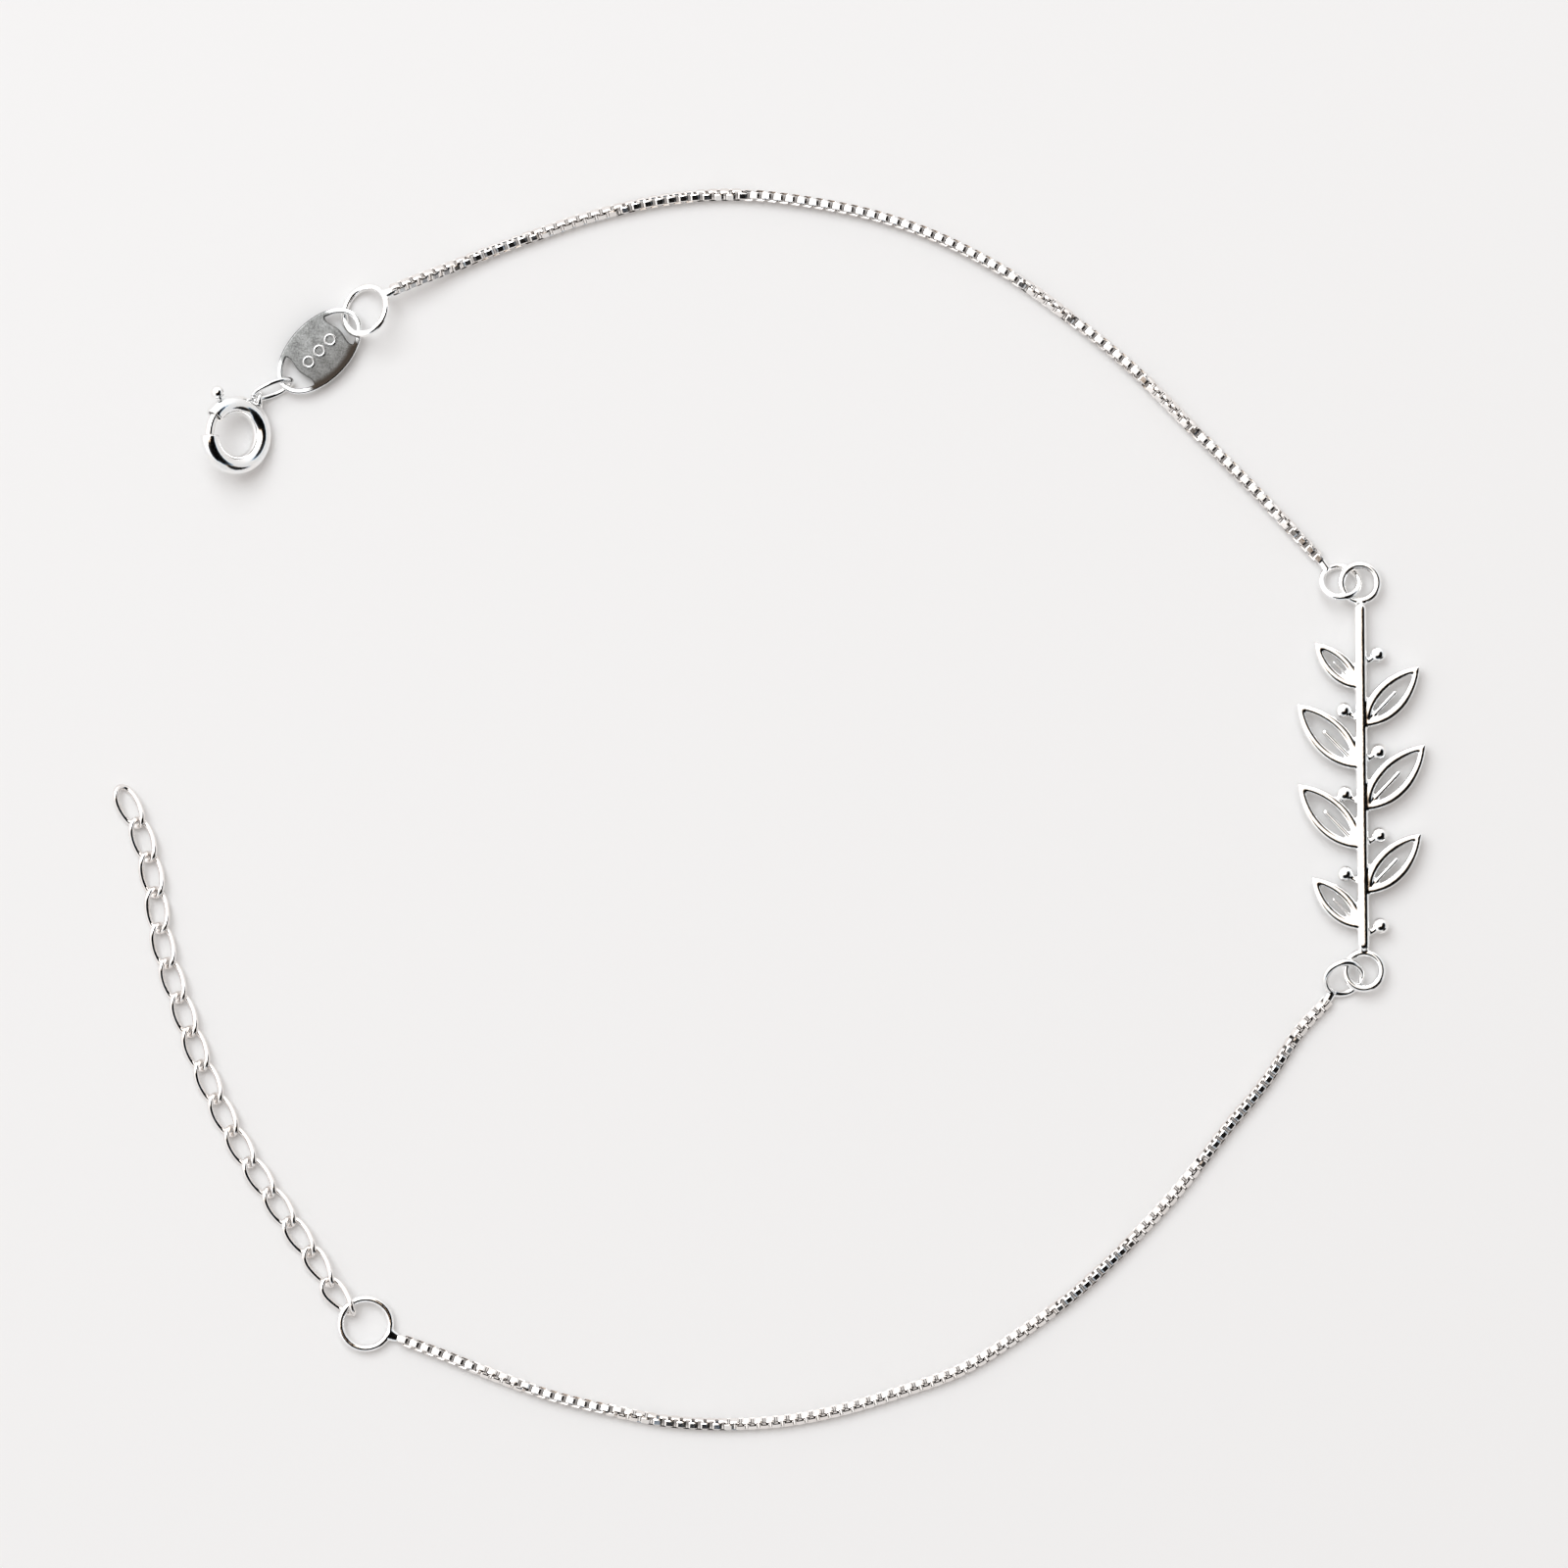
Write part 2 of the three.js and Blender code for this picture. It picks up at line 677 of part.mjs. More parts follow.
// Clasp and the link that joins it to the tag
const { clasp, eyeMiddle } = buildClasp();
bracelet.add(clasp);
const tagEnd = new THREE.Vector3((tagRim - tagLength) / 2, 0, 0).applyMatrix4(tagMatrix);
const claspLinkPlace = eyeMiddle.clone().add(tagEnd).multiplyScalar(0.5);
claspLinkPlace.add(new THREE.Vector3(0, 0.226, 0.151));
const claspLinkForward = new THREE.Vector3(
  Math.cos(radians(claspLinkTurn)), Math.sin(radians(claspLinkTurn)),
  Math.tan(radians(claspLinkSlope)),
);
const claspLink = linkGeometry(claspLinkLength, claspLinkWidth, claspLinkWire, 0);
bracelet.add(linkMesh(
  'clasp_link', claspLink, linkMatrix(claspLinkPlace, claspLinkForward, claspLinkRoll),
));

// Extender ring and links
const linkRadius = (linkLength - linkWire) / 2;
const linkPitch = linkLength - 2 * linkWire - 2 * play;
const ringPassing = passing(linkWire, endRingWire);
const extenderRingLift = 0.29 * ringPassing;
const extenderRingTilt = degrees(Math.asin(extenderRingLift / endRadius));
const extenderRingHeight = endRingWire / 2 + extenderRingLift + 0.49 * ringPassing;
bracelet.add(solderedRing(
  'extender_ring', endRingOuter, endRingWire,
  ringMatrix(extenderRingPlace, extenderRingHeight, extenderRingTilt, 135),
  lowerChainRoute[lowerChainRoute.length - 1], endDrop,
));
const firstLink = endRadius + linkRadius - 1.23 * ringPassing;
const linkPassing = passing(linkWire, linkWire);
const linkHeight = (i) => linkTwist + linkWire / 2 + linkPassing * (linkLifts[i] ?? 0);
const extenderPoints = extenderRoute.map((point) => new THREE.Vector3(point[0], point[1], 0));
const extenderCurve = new THREE.CatmullRomCurve3(extenderPoints, false, 'centripetal');
extenderCurve.arcLengthDivisions = 800;
const extenderLength = extenderCurve.getLength();
const linkCount = Math.floor((extenderLength - firstLink - linkRadius) / linkPitch) + 1;
const curbLink = linkGeometry(linkLength, linkWidth, linkWire, linkTwist);
for (let i = 0; i < linkCount; i += 1) {
  const share = (firstLink + i * linkPitch) / extenderLength;
  const middle = extenderCurve.getPointAt(share);
  const forward = extenderCurve.getTangentAt(share);
  middle.z = linkHeight(i);
  forward.z = (linkHeight(i + 1) - linkHeight(Math.max(i - 1, 0))) / (2 * linkPitch);
  const matrix = linkMatrix(middle, forward, linkRolls[i] ?? 0);
  const number = String(i + 1).padStart(2, '0');
  bracelet.add(linkMesh(`extender_link_${number}`, curbLink, matrix));
}

// The origin is the middle of the whole object's foot
bracelet.updateMatrixWorld(true);
const extent = new THREE.Box3().setFromObject(bracelet, true);
const middle = extent.getCenter(new THREE.Vector3());
bracelet.position.set(-middle.x, -middle.y, -extent.min.z);
bracelet.updateMatrixWorld(true);

export default bracelet;
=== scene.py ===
# A fine silver bracelet lying open on a pale surface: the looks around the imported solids.
# Shapes are worked out in millimetres and put into their meshes in metres.
import math

import bmesh
import bpy
import numpy as np
from mathutils import Matrix, Vector


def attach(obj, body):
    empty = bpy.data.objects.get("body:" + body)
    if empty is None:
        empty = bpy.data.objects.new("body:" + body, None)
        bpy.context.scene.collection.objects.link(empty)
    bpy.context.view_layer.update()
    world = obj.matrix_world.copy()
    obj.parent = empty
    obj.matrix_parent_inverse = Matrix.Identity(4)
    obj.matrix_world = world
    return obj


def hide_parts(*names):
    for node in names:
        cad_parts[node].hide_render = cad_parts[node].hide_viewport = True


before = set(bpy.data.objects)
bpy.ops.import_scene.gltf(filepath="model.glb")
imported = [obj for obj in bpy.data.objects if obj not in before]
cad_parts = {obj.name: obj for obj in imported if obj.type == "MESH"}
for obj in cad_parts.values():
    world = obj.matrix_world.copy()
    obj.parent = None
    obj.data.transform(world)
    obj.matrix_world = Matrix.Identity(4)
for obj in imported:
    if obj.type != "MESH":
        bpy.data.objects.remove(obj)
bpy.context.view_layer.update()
print("solids loaded:", len(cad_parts))

# A millimetre in metres, and a metre in millimetres
mm = 0.001
metre = 1000
# The play between two pieces that pass each other, in millimetres
play = 0.05


# Array helpers

# v / |v|, for a whole array of vectors
def unit(vectors):
    return vectors / np.linalg.norm(vectors, axis=-1, keepdims=True)


# Turning matrices: x and y mix by the cosine and sine of the angle about z, and so on
def turnAbout(axis, degrees):
    c = math.cos(math.radians(degrees))
    s = math.sin(math.radians(degrees))
    if axis == "x":
        return np.array([[1, 0, 0], [0, c, -s], [0, s, c]])
    if axis == "y":
        return np.array([[c, 0, s], [0, 1, 0], [-s, 0, c]])
    return np.array([[c, -s, 0], [s, c, 0], [0, 0, 1]])


# A ring's turn: its plane slopes up by tilt towards a direction seen from above
def leaning(tilt, towards):
    return turnAbout("z", towards) @ turnAbout("y", -tilt) @ turnAbout("z", -towards)


# Points of a grid moved: turn p + place
def placed(grid, turn, place):
    return grid @ turn.T + np.asarray(place, float)


# A smooth route through a few points: on each stretch the cubic
# h00 p1 + h10 m1 + h01 p2 + h11 m2, with knots apart by the square root of the distance
def smoothRoute(points, stepsEach=60):
    p = np.asarray(points, float)
    p = np.vstack([2 * p[0] - p[1], p, 2 * p[-1] - p[-2]])
    knots = np.sqrt(np.linalg.norm(np.diff(p, axis=0), axis=1))[:, None]
    k0, k1, k2 = knots[:-2], knots[1:-1], knots[2:]
    p0, p1, p2, p3 = p[:-3], p[1:-2], p[2:-1], p[3:]
    m1 = ((p1 - p0) / k0 - (p2 - p0) / (k0 + k1) + (p2 - p1) / k1) * k1
    m2 = ((p2 - p1) / k1 - (p3 - p1) / (k1 + k2) + (p3 - p2) / k2) * k1
    t = np.linspace(0, 1, stepsEach, endpoint=False)[None, :, None]
    h00 = 2 * t**3 - 3 * t**2 + 1
    h10 = t**3 - 2 * t**2 + t
    h01 = -2 * t**3 + 3 * t**2
    h11 = t**3 - t**2
    p1, p2, m1, m2 = (a[:, None, :] for a in (p1, p2, m1, m2))
    curve = h00 * p1 + h10 * m1 + h01 * p2 + h11 * m2
    return np.vstack([curve.reshape(-1, p.shape[1]), p[-2:-1]])


# The distance along a route up to each of its points: the sum of its steps so far
def reachedAlong(route):
    return np.concatenate([[0], np.cumsum(np.linalg.norm(np.diff(route, axis=0), axis=1))])


# Points and directions at given distances along a route, by straight interpolation. A
# direction runs from the point a little behind to the point a little ahead.
def alongRoute(route, distances, near=0.05):
    reached = reachedAlong(route)

    def pointAt(distance):
        return np.stack([np.interp(distance, reached, column) for column in route.T], -1)

    return pointAt(distances), unit(pointAt(distances + near) - pointAt(distances - near))


# Side and top directions across a route: side = z x along, top = along x side
def crossFrame(along):
    side = unit(np.cross(np.array([0.0, 0.0, 1.0]), along))
    return side, np.cross(along, side)


# A profile (u, v) carried along a path: point + u side + v top
def carried(profile, points, side, top):
    return (points[:, None, :] + profile[None, :, 0:1] * side[:, None, :]
            + profile[None, :, 1:2] * top[:, None, :])


# A circle of n points: (r cos a, r sin a)
def circle(radius, count):
    a = np.linspace(0, 2 * np.pi, count, endpoint=False)
    return np.stack([radius * np.cos(a), radius * np.sin(a)], -1)


# A wire ring: ((R + r cos v) cos u, (R + r cos v) sin u, r sin v)
def wireRing(radius, wire, around=96, across=20):
    u = np.linspace(0, 2 * np.pi, around, endpoint=False)[:, None]
    v = np.linspace(0, 2 * np.pi, across, endpoint=False)[None, :]
    r = radius + wire / 2 * np.cos(v)
    return np.stack([r * np.cos(u), r * np.sin(u), wire / 2 * np.sin(v) + 0 * u], -1)


# A ball, stretched by three half axes: (a cos u cos v, b sin u cos v, c sin v), where v
# stops a little short of each pole
def ball(halfAxes, around=28, across=18, short=0.02):
    v = np.linspace(short - np.pi / 2, np.pi / 2 - short, across)[:, None]
    u = np.linspace(0, 2 * np.pi, around, endpoint=False)[None, :]
    a, b, c = halfAxes
    return np.stack([a * np.cos(u) * np.cos(v), b * np.sin(u) * np.cos(v),
                     c * np.sin(v) + 0 * u], -1)


# A closed loop of wire along a curve that has no corners: a circle carried along it
def wireLoop(curve, wire, across=14):
    along = unit(np.roll(curve, -1, 0) - np.roll(curve, 1, 0))
    side, top = crossFrame(along)
    return carried(circle(wire / 2, across), curve, side, top)


# Faces of a grid: corner (i, j) joins (i, j+1), (i+1, j+1) and (i+1, j). Columns always
# wrap round. Rows wrap round too, or else end in a flat cap.
def gridFaces(rows, columns, rowsWrap, first):
    i, j = np.meshgrid(np.arange(rows if rowsWrap else rows - 1), np.arange(columns),
                       indexing="ij")
    iNext = (i + 1) % rows
    jNext = (j + 1) % columns
    quads = np.stack([i * columns + j, i * columns + jNext,
                      iNext * columns + jNext, iNext * columns + j], -1)
    faces = (quads.reshape(-1, 4) + first).tolist()
    if not rowsWrap:
        faces.append(list(range(first, first + columns))[::-1])
        last = first + (rows - 1) * columns
        faces.append(list(range(last, last + columns)))
    return faces


# A new object that holds the data, linked into the scene
def newObject(name, data):
    thing = bpy.data.objects.new(name, data)
    bpy.context.scene.collection.objects.link(thing)
    return thing


# Points that lie together become one, and every face is turned to look outwards
def cleaned(mesh, together=0):
    work = bmesh.new()
    work.from_mesh(mesh)
    if together:
        bmesh.ops.remove_doubles(work, verts=work.verts, dist=together)
    bmesh.ops.recalc_face_normals(work, faces=work.faces)
    work.to_mesh(mesh)
    work.free()


# A piece from its points and, for each face, the numbers of the points round it
def pieceFromFaces(name, points, faces):
    mesh = bpy.data.meshes.new(name)
    mesh.from_pydata(points.astype(float), [], faces)
    piece = newObject(name, mesh)
    cleaned(mesh)
    return piece


# One object from several grids. Each entry is (grid, whether its rows wrap round).
def newPiece(name, grids):
    points, faces, first = [], [], 0
    for grid, rowsWrap in grids:
        rows, columns = grid.shape[:2]
        faces += gridFaces(rows, columns, rowsWrap, first)
        points.append(grid.reshape(-1, 3))
        first += rows * columns
    return pieceFromFaces(name, np.concatenate(points), faces)


# Modifiers become part of the mesh
def settle(piece):
    graph = bpy.context.evaluated_depsgraph_get()
    mesh = bpy.data.meshes.new_from_object(piece.evaluated_get(graph))
    piece.modifiers.clear()
    piece.data = mesh
    return piece


# Crossing shells become one skin, and the corners between them are softened
def fused(piece, voxel, rounds):
    skin = piece.modifiers.new("oneSkin", "REMESH")
    skin.mode = "VOXEL"
    skin.voxel_size = voxel
    soften = piece.modifiers.new("soften", "SMOOTH")
    soften.factor = 0.5
    soften.iterations = rounds
    return settle(piece)


# From millimetres to the frame's metres, with its finish, its body and the nodes
# whose place it takes. Edges that bend by more than an angle stay sharp.
def finished(piece, material, body, replaced=(), sharpAbove=180):
    piece.data.transform(Matrix.Scale(mm, 4))
    piece.data.materials.clear()
    piece.data.materials.append(material)
    piece.data.shade_smooth()
    if sharpAbove < 180:
        piece.data.set_sharp_from_angle(angle=math.radians(sharpAbove))
    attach(piece, body)
    if replaced:
        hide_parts(*replaced)
    return piece


# Finishes

# A new material, with its nodes, its links and its shader
def newMaterial(name):
    material = bpy.data.materials.new(name)
    material.use_nodes = True
    tree = material.node_tree
    return material, tree.nodes, tree.links, tree.nodes["Principled BSDF"]


# Noise over the piece's own place, with about as many grains in a metre as its scale
def noiseOver(nodes, links, scale, detail):
    place = nodes.new("ShaderNodeTexCoord")
    noise = nodes.new("ShaderNodeTexNoise")
    noise.inputs["Scale"].default_value = scale
    noise.inputs["Detail"].default_value = detail
    links.new(place.outputs["Object"], noise.inputs["Vector"])
    return noise.outputs["Fac"]


# A value carried from one range to another, eased or straight, and held at the ends
def mapped(nodes, links, value, fromRange, toRange=(0, 1), how="SMOOTHSTEP"):
    step = nodes.new("ShaderNodeMapRange")
    step.interpolation_type = how
    step.inputs["From Min"].default_value = fromRange[0]
    step.inputs["From Max"].default_value = fromRange[1]
    step.inputs["To Min"].default_value = toRange[0]
    step.inputs["To Max"].default_value = toRange[1]
    links.new(value, step.inputs["Value"])
    return step.outputs["Result"]


# One value from two, the second another socket or a plain number
def combined(nodes, links, operation, first, second=0):
    maths = nodes.new("ShaderNodeMath")
    maths.operation = operation
    links.new(first, maths.inputs[0])
    if isinstance(second, (int, float)):
        maths.inputs[1].default_value = second
    else:
        links.new(second, maths.inputs[1])
    return maths.outputs["Value"]


# The first colour times (1 - amount), plus the second times the amount
def blended(nodes, links, amount, first, second):
    blend = nodes.new("ShaderNodeMix")
    blend.data_type = "RGBA"
    blend.inputs["B"].default_value = second
    links.new(amount, blend.inputs["Factor"])
    links.new(first, blend.inputs["A"])
    return blend.outputs["Result"]


# Two colours blended between two places on a value's way from 0 to 1
def rampOf(nodes, links, value, places, colours):
    ramp = nodes.new("ShaderNodeValToRGB")
    for element, place, colour in zip(ramp.color_ramp.elements, places, colours):
        element.position = place
        element.color = colour
    links.new(value, ramp.inputs["Fac"])
    return ramp.outputs["Color"]


# A surface that rises with the height, by strength times depth in metres
def bumped(nodes, links, height, strength, depth, below=None):
    bump = nodes.new("ShaderNodeBump")
    bump.inputs["Strength"].default_value = strength
    bump.inputs["Distance"].default_value = depth
    links.new(height, bump.inputs["Height"])
    if below is not None:
        links.new(below, bump.inputs["Normal"])
    return bump.outputs["Normal"]


# Polished silver: near white, a little warm in places, with faint tumbling marks. The
# chains' is greyer and warmer, and the tag's raised marks are dulled.
silverLook = {
    "plain": ((0.93, 0.935, 0.94, 1), (0.95, 0.925, 0.90, 1)),
    "chain": ((0.90, 0.87, 0.85, 1), (0.85, 0.80, 0.765, 1)),
    "dulled": ((0.60, 0.595, 0.59, 1), (0.50, 0.49, 0.48, 1)),
    "tintScale": 900,
    "tintRange": (0.35, 0.7),
    "markScale": 9000,
    "markRange": (0.3, 0.7),
    "markDepth": 0.00001,
    "waveScale": 700,
    "waveDepth": 0.0001,
}


# Metal whose colour follows one noise and whose roughness follows the marks, which are laid
# over low waves
def polishedSilver(name, tints, roughness, waves, marks):
    material, nodes, links, shader = newMaterial(name)
    look = silverLook
    tint = noiseOver(nodes, links, look["tintScale"], 3)
    mark = noiseOver(nodes, links, look["markScale"], 5)
    wave = noiseOver(nodes, links, look["waveScale"], 2)
    colour = rampOf(nodes, links, tint, look["tintRange"], look[tints])
    dullness = mapped(nodes, links, mark, look["markRange"], roughness, "LINEAR")
    waved = bumped(nodes, links, wave, waves, look["waveDepth"])
    marked = bumped(nodes, links, mark, marks, look["markDepth"], waved)
    shader.inputs["Metallic"].default_value = 1
    links.new(colour, shader.inputs["Base Color"])
    links.new(dullness, shader.inputs["Roughness"])
    links.new(marked, shader.inputs["Normal"])
    return material


wireSilver = polishedSilver("wireSilver", "plain", (0.05, 0.14), waves=0.12, marks=0.25)
castSilver = polishedSilver("castSilver", "plain", (0.06, 0.15), waves=0.18, marks=0.25)
linkSilver = polishedSilver("linkSilver", "chain", (0.05, 0.14), waves=0.12, marks=0.25)
chainSilver = polishedSilver("chainSilver", "chain", (0.10, 0.22), waves=0.1, marks=0.2)
markSilver = polishedSilver("markSilver", "dulled", (0.16, 0.30), waves=0.2, marks=0.35)

# The tag's holes lie inside its rim and beyond its middle. Each one's inner side starts with
# a small corner, a share of the rim, draws in by the hollow and bulges out from the middle.
tagShape = {
    "place": (-27.497, 28.023, 0.726),
    "turn": 46,
    "slope": 1.24,
    "roll": 1.31,
    "length": 6.4,
    "width": 3.7,
    "thickness": 0.4,
    "edge": 0.1,
    "rim": 0.34,
    "middle": 3.3,
    "holeCorner": 0.18,
    "holeHollow": 0.2,
    "holeBulge": 0.12,
    "markOuter": 0.86,
    "markWire": 0.24,
    "markSpacing": 0.94,
    "markSink": 0.02,
}

# Satin tag face: grey with a rolled grain. The ends round the holes and the lower right
# edge are polished. Painted shade darkens the face towards that edge, as if lit from the
# upper left: a gradient across the face (fall) and a near-black band along the edge.
# Ends, lower and fall are millimetres from the tag's middle, and band and rim are shares
# of the way to its edge.
tagLook = {
    "greys": ((0.13, 0.13, 0.126, 1), (0.36, 0.36, 0.352, 1)),
    "greyRange": (0.36, 0.64),
    # The near-black colour that the painted shade blends in towards the lower right edge
    "paintedShade": (0.045, 0.035, 0.028, 1),
    "polished": (0.93, 0.93, 0.93, 1),
    "grainScale": 11000,
    "grainShare": 0.55,
    "grainStrength": 0.35,
    "grainDepth": 0.00002,
    "cloudScale": 1300,
    "ends": (1.85, 2.35),
    "lower": (0.3, -0.9),
    "fall": (1.6, -1.8),
    "fallShade": 0.42,
    "band": (0.56, 0.87),
    "rim": (0.955, 0.965),
    "roughness": (0.42, 0.10),
}


# The tag's own coordinates say how far along and across it a point lies, and how near its
# edge: the length of (2 x / length, 2 y / width)
def tagCoordinates(nodes, links):
    own = nodes.new("ShaderNodeAttribute")
    own.attribute_name = "tagPlace"
    apart = nodes.new("ShaderNodeSeparateXYZ")
    links.new(own.outputs["Vector"], apart.inputs[0])
    scaled = nodes.new("ShaderNodeVectorMath")
    scaled.operation = "MULTIPLY"
    scaled.inputs[1].default_value = (2 / tagShape["length"], 2 / tagShape["width"], 0)
    links.new(own.outputs["Vector"], scaled.inputs[0])
    nearness = nodes.new("ShaderNodeVectorMath")
    nearness.operation = "LENGTH"
    links.new(scaled.outputs["Vector"], nearness.inputs[0])
    return apart.outputs["X"], apart.outputs["Y"], nearness.outputs["Value"]


# The grey of grain and clouds, darkened by painted shade (the larger of band and fall)
# towards the lower right, and polished by the larger of ends and rim
def satinTag():
    material, nodes, links, shader = newMaterial("satinTagSilver")
    look = tagLook
    grain = noiseOver(nodes, links, look["grainScale"], 4)
    clouds = noiseOver(nodes, links, look["cloudScale"], 4)
    grainPart = combined(nodes, links, "MULTIPLY", grain, look["grainShare"])
    cloudPart = combined(nodes, links, "MULTIPLY", clouds, 1 - look["grainShare"])
    grey = combined(nodes, links, "ADD", grainPart, cloudPart)
    face = rampOf(nodes, links, grey, look["greyRange"], look["greys"])

    alongTag, acrossTag, nearness = tagCoordinates(nodes, links)
    # Painted shade: darker across the face towards its lower right side, and near black in a band
    # along that edge
    lower = mapped(nodes, links, acrossTag, look["lower"])
    fall = mapped(nodes, links, acrossTag, look["fall"], (0, look["fallShade"]))
    nearBand = mapped(nodes, links, nearness, look["band"])
    nearRim = mapped(nodes, links, nearness, look["rim"])
    band = combined(nodes, links, "MULTIPLY", lower, nearBand)
    rim = combined(nodes, links, "MULTIPLY", lower, nearRim)
    ends = mapped(nodes, links, combined(nodes, links, "ABSOLUTE", alongTag), look["ends"])
    shading = combined(nodes, links, "MAXIMUM", band, fall)
    polish = combined(nodes, links, "MAXIMUM", ends, rim)

    shaded = blended(nodes, links, shading, face, look["paintedShade"])
    colour = blended(nodes, links, polish, shaded, look["polished"])
    dullness = mapped(nodes, links, polish, (0, 1), look["roughness"], "LINEAR")
    grained = bumped(nodes, links, grain, look["grainStrength"], look["grainDepth"])
    shader.inputs["Metallic"].default_value = 1
    links.new(colour, shader.inputs["Base Color"])
    links.new(dullness, shader.inputs["Roughness"])
    links.new(grained, shader.inputs["Normal"])
    return material


tagSilver = satinTag()
print("finishes ready")

# Box chain

# Each link is a strip bent into a square ring and set a quarter turn from the last one. The
# strip is widest at a share of its thickness, and its outer and inner sides are shares of
# that width.
chainLook = {
    "linkLength": 0.62,
    "linkWidth": 0.70,
    "strip": 0.12,
    "stripWidth": 0.42,
    "outerShare": 0.72,
    "innerShare": 0.92,
    "widestAt": 0.35,
    "corner": 0.14,
    "pitch": 0.364,
    "endGap": 0.1,
}

# The chains' routes along their middles, in metres
upperChainRoute = [
    (-0.022917, 0.03175, 0.00142), (-0.021217, 0.03245, 0.0012), (-0.019217, 0.03325, 0.00072),
    (-0.016617, 0.0343, 0.00049), (-0.013817, 0.0353, 0.00046), (-0.011117, 0.0362, 0.00045),
    (-0.006317, 0.0373, 0.00045), (-0.002017, 0.0376, 0.00045), (0.002683, 0.0371, 0.00045),
    (0.006883, 0.0362, 0.00045), (0.010483, 0.0349, 0.00045), (0.014683, 0.0327, 0.00045),
    (0.018883, 0.0297, 0.00045), (0.022483, 0.0267, 0.00045), (0.026083, 0.0231, 0.00045),
    (0.030283, 0.0189, 0.00045), (0.033702, 0.01528, 0.00045),
]
lowerChainRoute = [
    (0.034062, -0.011782, 0.00045), (0.032383, -0.0136, 0.00045), (0.030283, -0.0167, 0.00045),
    (0.027883, -0.0196, 0.00045), (0.024883, -0.0234, 0.00045), (0.021883, -0.0266, 0.00045),
    (0.018883, -0.0294, 0.00045), (0.015283, -0.0321, 0.00045), (0.011683, -0.0343, 0.00045),
    (0.008083, -0.0356, 0.00045), (0.004483, -0.0367, 0.00045), (0.000883, -0.0374, 0.00045),
    (-0.002717, -0.0376, 0.00045), (-0.006317, -0.0374, 0.00045), (-0.009917, -0.0367, 0.00045),
    (-0.013517, -0.0358, 0.00045), (-0.017117, -0.0345, 0.00045), (-0.020117, -0.0333, 0.00045),
    (-0.022817, -0.0323, 0.00045),
]
# How far the chain is turned about itself, in degrees, at places along x in millimetres
upperChainTurns = [
    (-23, 45), (-19.5, 45), (-18, 18), (-15, 18), (-13.6, 45), (-9.8, 45), (-8.2, 18),
    (-4.8, 18), (-2.6, 40), (-0.6, -3), (14.6, -3), (16.2, 45), (17.8, 45), (19.2, -4),
    (22.6, -4), (23.6, 45), (25.2, 45), (26.6, -4), (30.4, -4), (31.4, 40), (32.4, 12), (34, 12),
]
lowerChainTurns = [
    (-23, 6), (-18.4, 6), (-17.4, 40), (-15.6, 40), (-14.4, 8), (-10.4, 8), (-8.6, 42),
    (-6.6, 66), (-3.4, 66), (-1.6, 44), (17, 42), (18, 72), (21.6, 72), (22.6, 44),
    (26, 42), (27, 72), (31.2, 72), (32.4, 45), (34.5, 45),
]


# A square ring of strip, corners rounded: corner's middle + bend (cos a, sin a), where a
# steps through the four quarter bends. Across the strip goes a six-sided band.
def boxLink():
    look = chainLook
    bend = look["corner"]
    quarter = np.radians([0, 45, 90])
    halfLength, halfWidth = look["linkLength"] / 2, look["linkWidth"] / 2
    angles = (quarter[None, :] + np.radians([0, 90, 180, 270])[:, None]).ravel()
    middleX = np.repeat(np.array([1, -1, -1, 1]) * (halfLength - bend), 3)
    middleY = np.repeat(np.array([1, 1, -1, -1]) * (halfWidth - bend), 3)
    outward = np.stack([np.cos(angles), np.sin(angles)], -1)
    outline = np.stack([middleX, middleY], -1) + bend * outward
    thick, half = look["strip"], look["stripWidth"] / 2
    outer, inner = look["outerShare"] * half, look["innerShare"] * half
    widest = look["widestAt"] * thick
    across = np.array([(0, -outer), (0, outer), (-widest, half),
                       (-thick, inner), (-thick, -inner), (-widest, -half)])
    flat = outline[:, None, :] + across[None, :, 0:1] * outward[:, None, :]
    rise = np.broadcast_to(across[None, :, 1:2], flat.shape[:2] + (1,))
    return np.concatenate([flat, rise], -1)


# Every link of a chain at once: middle + x along + y across + z above, where across and
# above turn about the chain by its turn at that place, and by 90 degrees every second link
def boxChain(name, route, turns, replaced):
    look = chainLook
    dense = smoothRoute(np.array(route) * metre)
    distances = np.arange(look["endGap"], reachedAlong(dense)[-1] - look["endGap"], look["pitch"])
    middle, along = alongRoute(dense, distances)
    side, top = crossFrame(along)
    turnX, turnDegrees = np.array(turns, float).T
    turned = np.radians(np.interp(middle[:, 0], turnX, turnDegrees))
    turned = turned + np.pi / 2 * (np.arange(len(distances)) % 2)
    c, s = np.cos(turned)[:, None], np.sin(turned)[:, None]
    across = c * side + s * top
    above = c * top - s * side
    link = boxLink()
    rows, columns = link.shape[:2]
    points = (middle[:, None, None, :]
              + link[None, :, :, 0:1] * along[:, None, None, :]
              + link[None, :, :, 1:2] * across[:, None, None, :]
              + link[None, :, :, 2:3] * above[:, None, None, :])
    faces = np.array(gridFaces(rows, columns, True, 0))
    offsets = np.arange(len(distances))[:, None, None] * rows * columns
    allFaces = (faces[None] + offsets).reshape(-1, 4).tolist()
    piece = pieceFromFaces(name, points.reshape(-1, 3), allFaces)
    return finished(piece, chainSilver, "bracelet", replaced, sharpAbove=20)


boxChain("upperBoxChain", upperChainRoute, upperChainTurns, ["chain_upper"])
boxChain("lowerBoxChain", lowerChainRoute, lowerChainTurns, ["chain_lower"])
print("box chains made")

# Charm

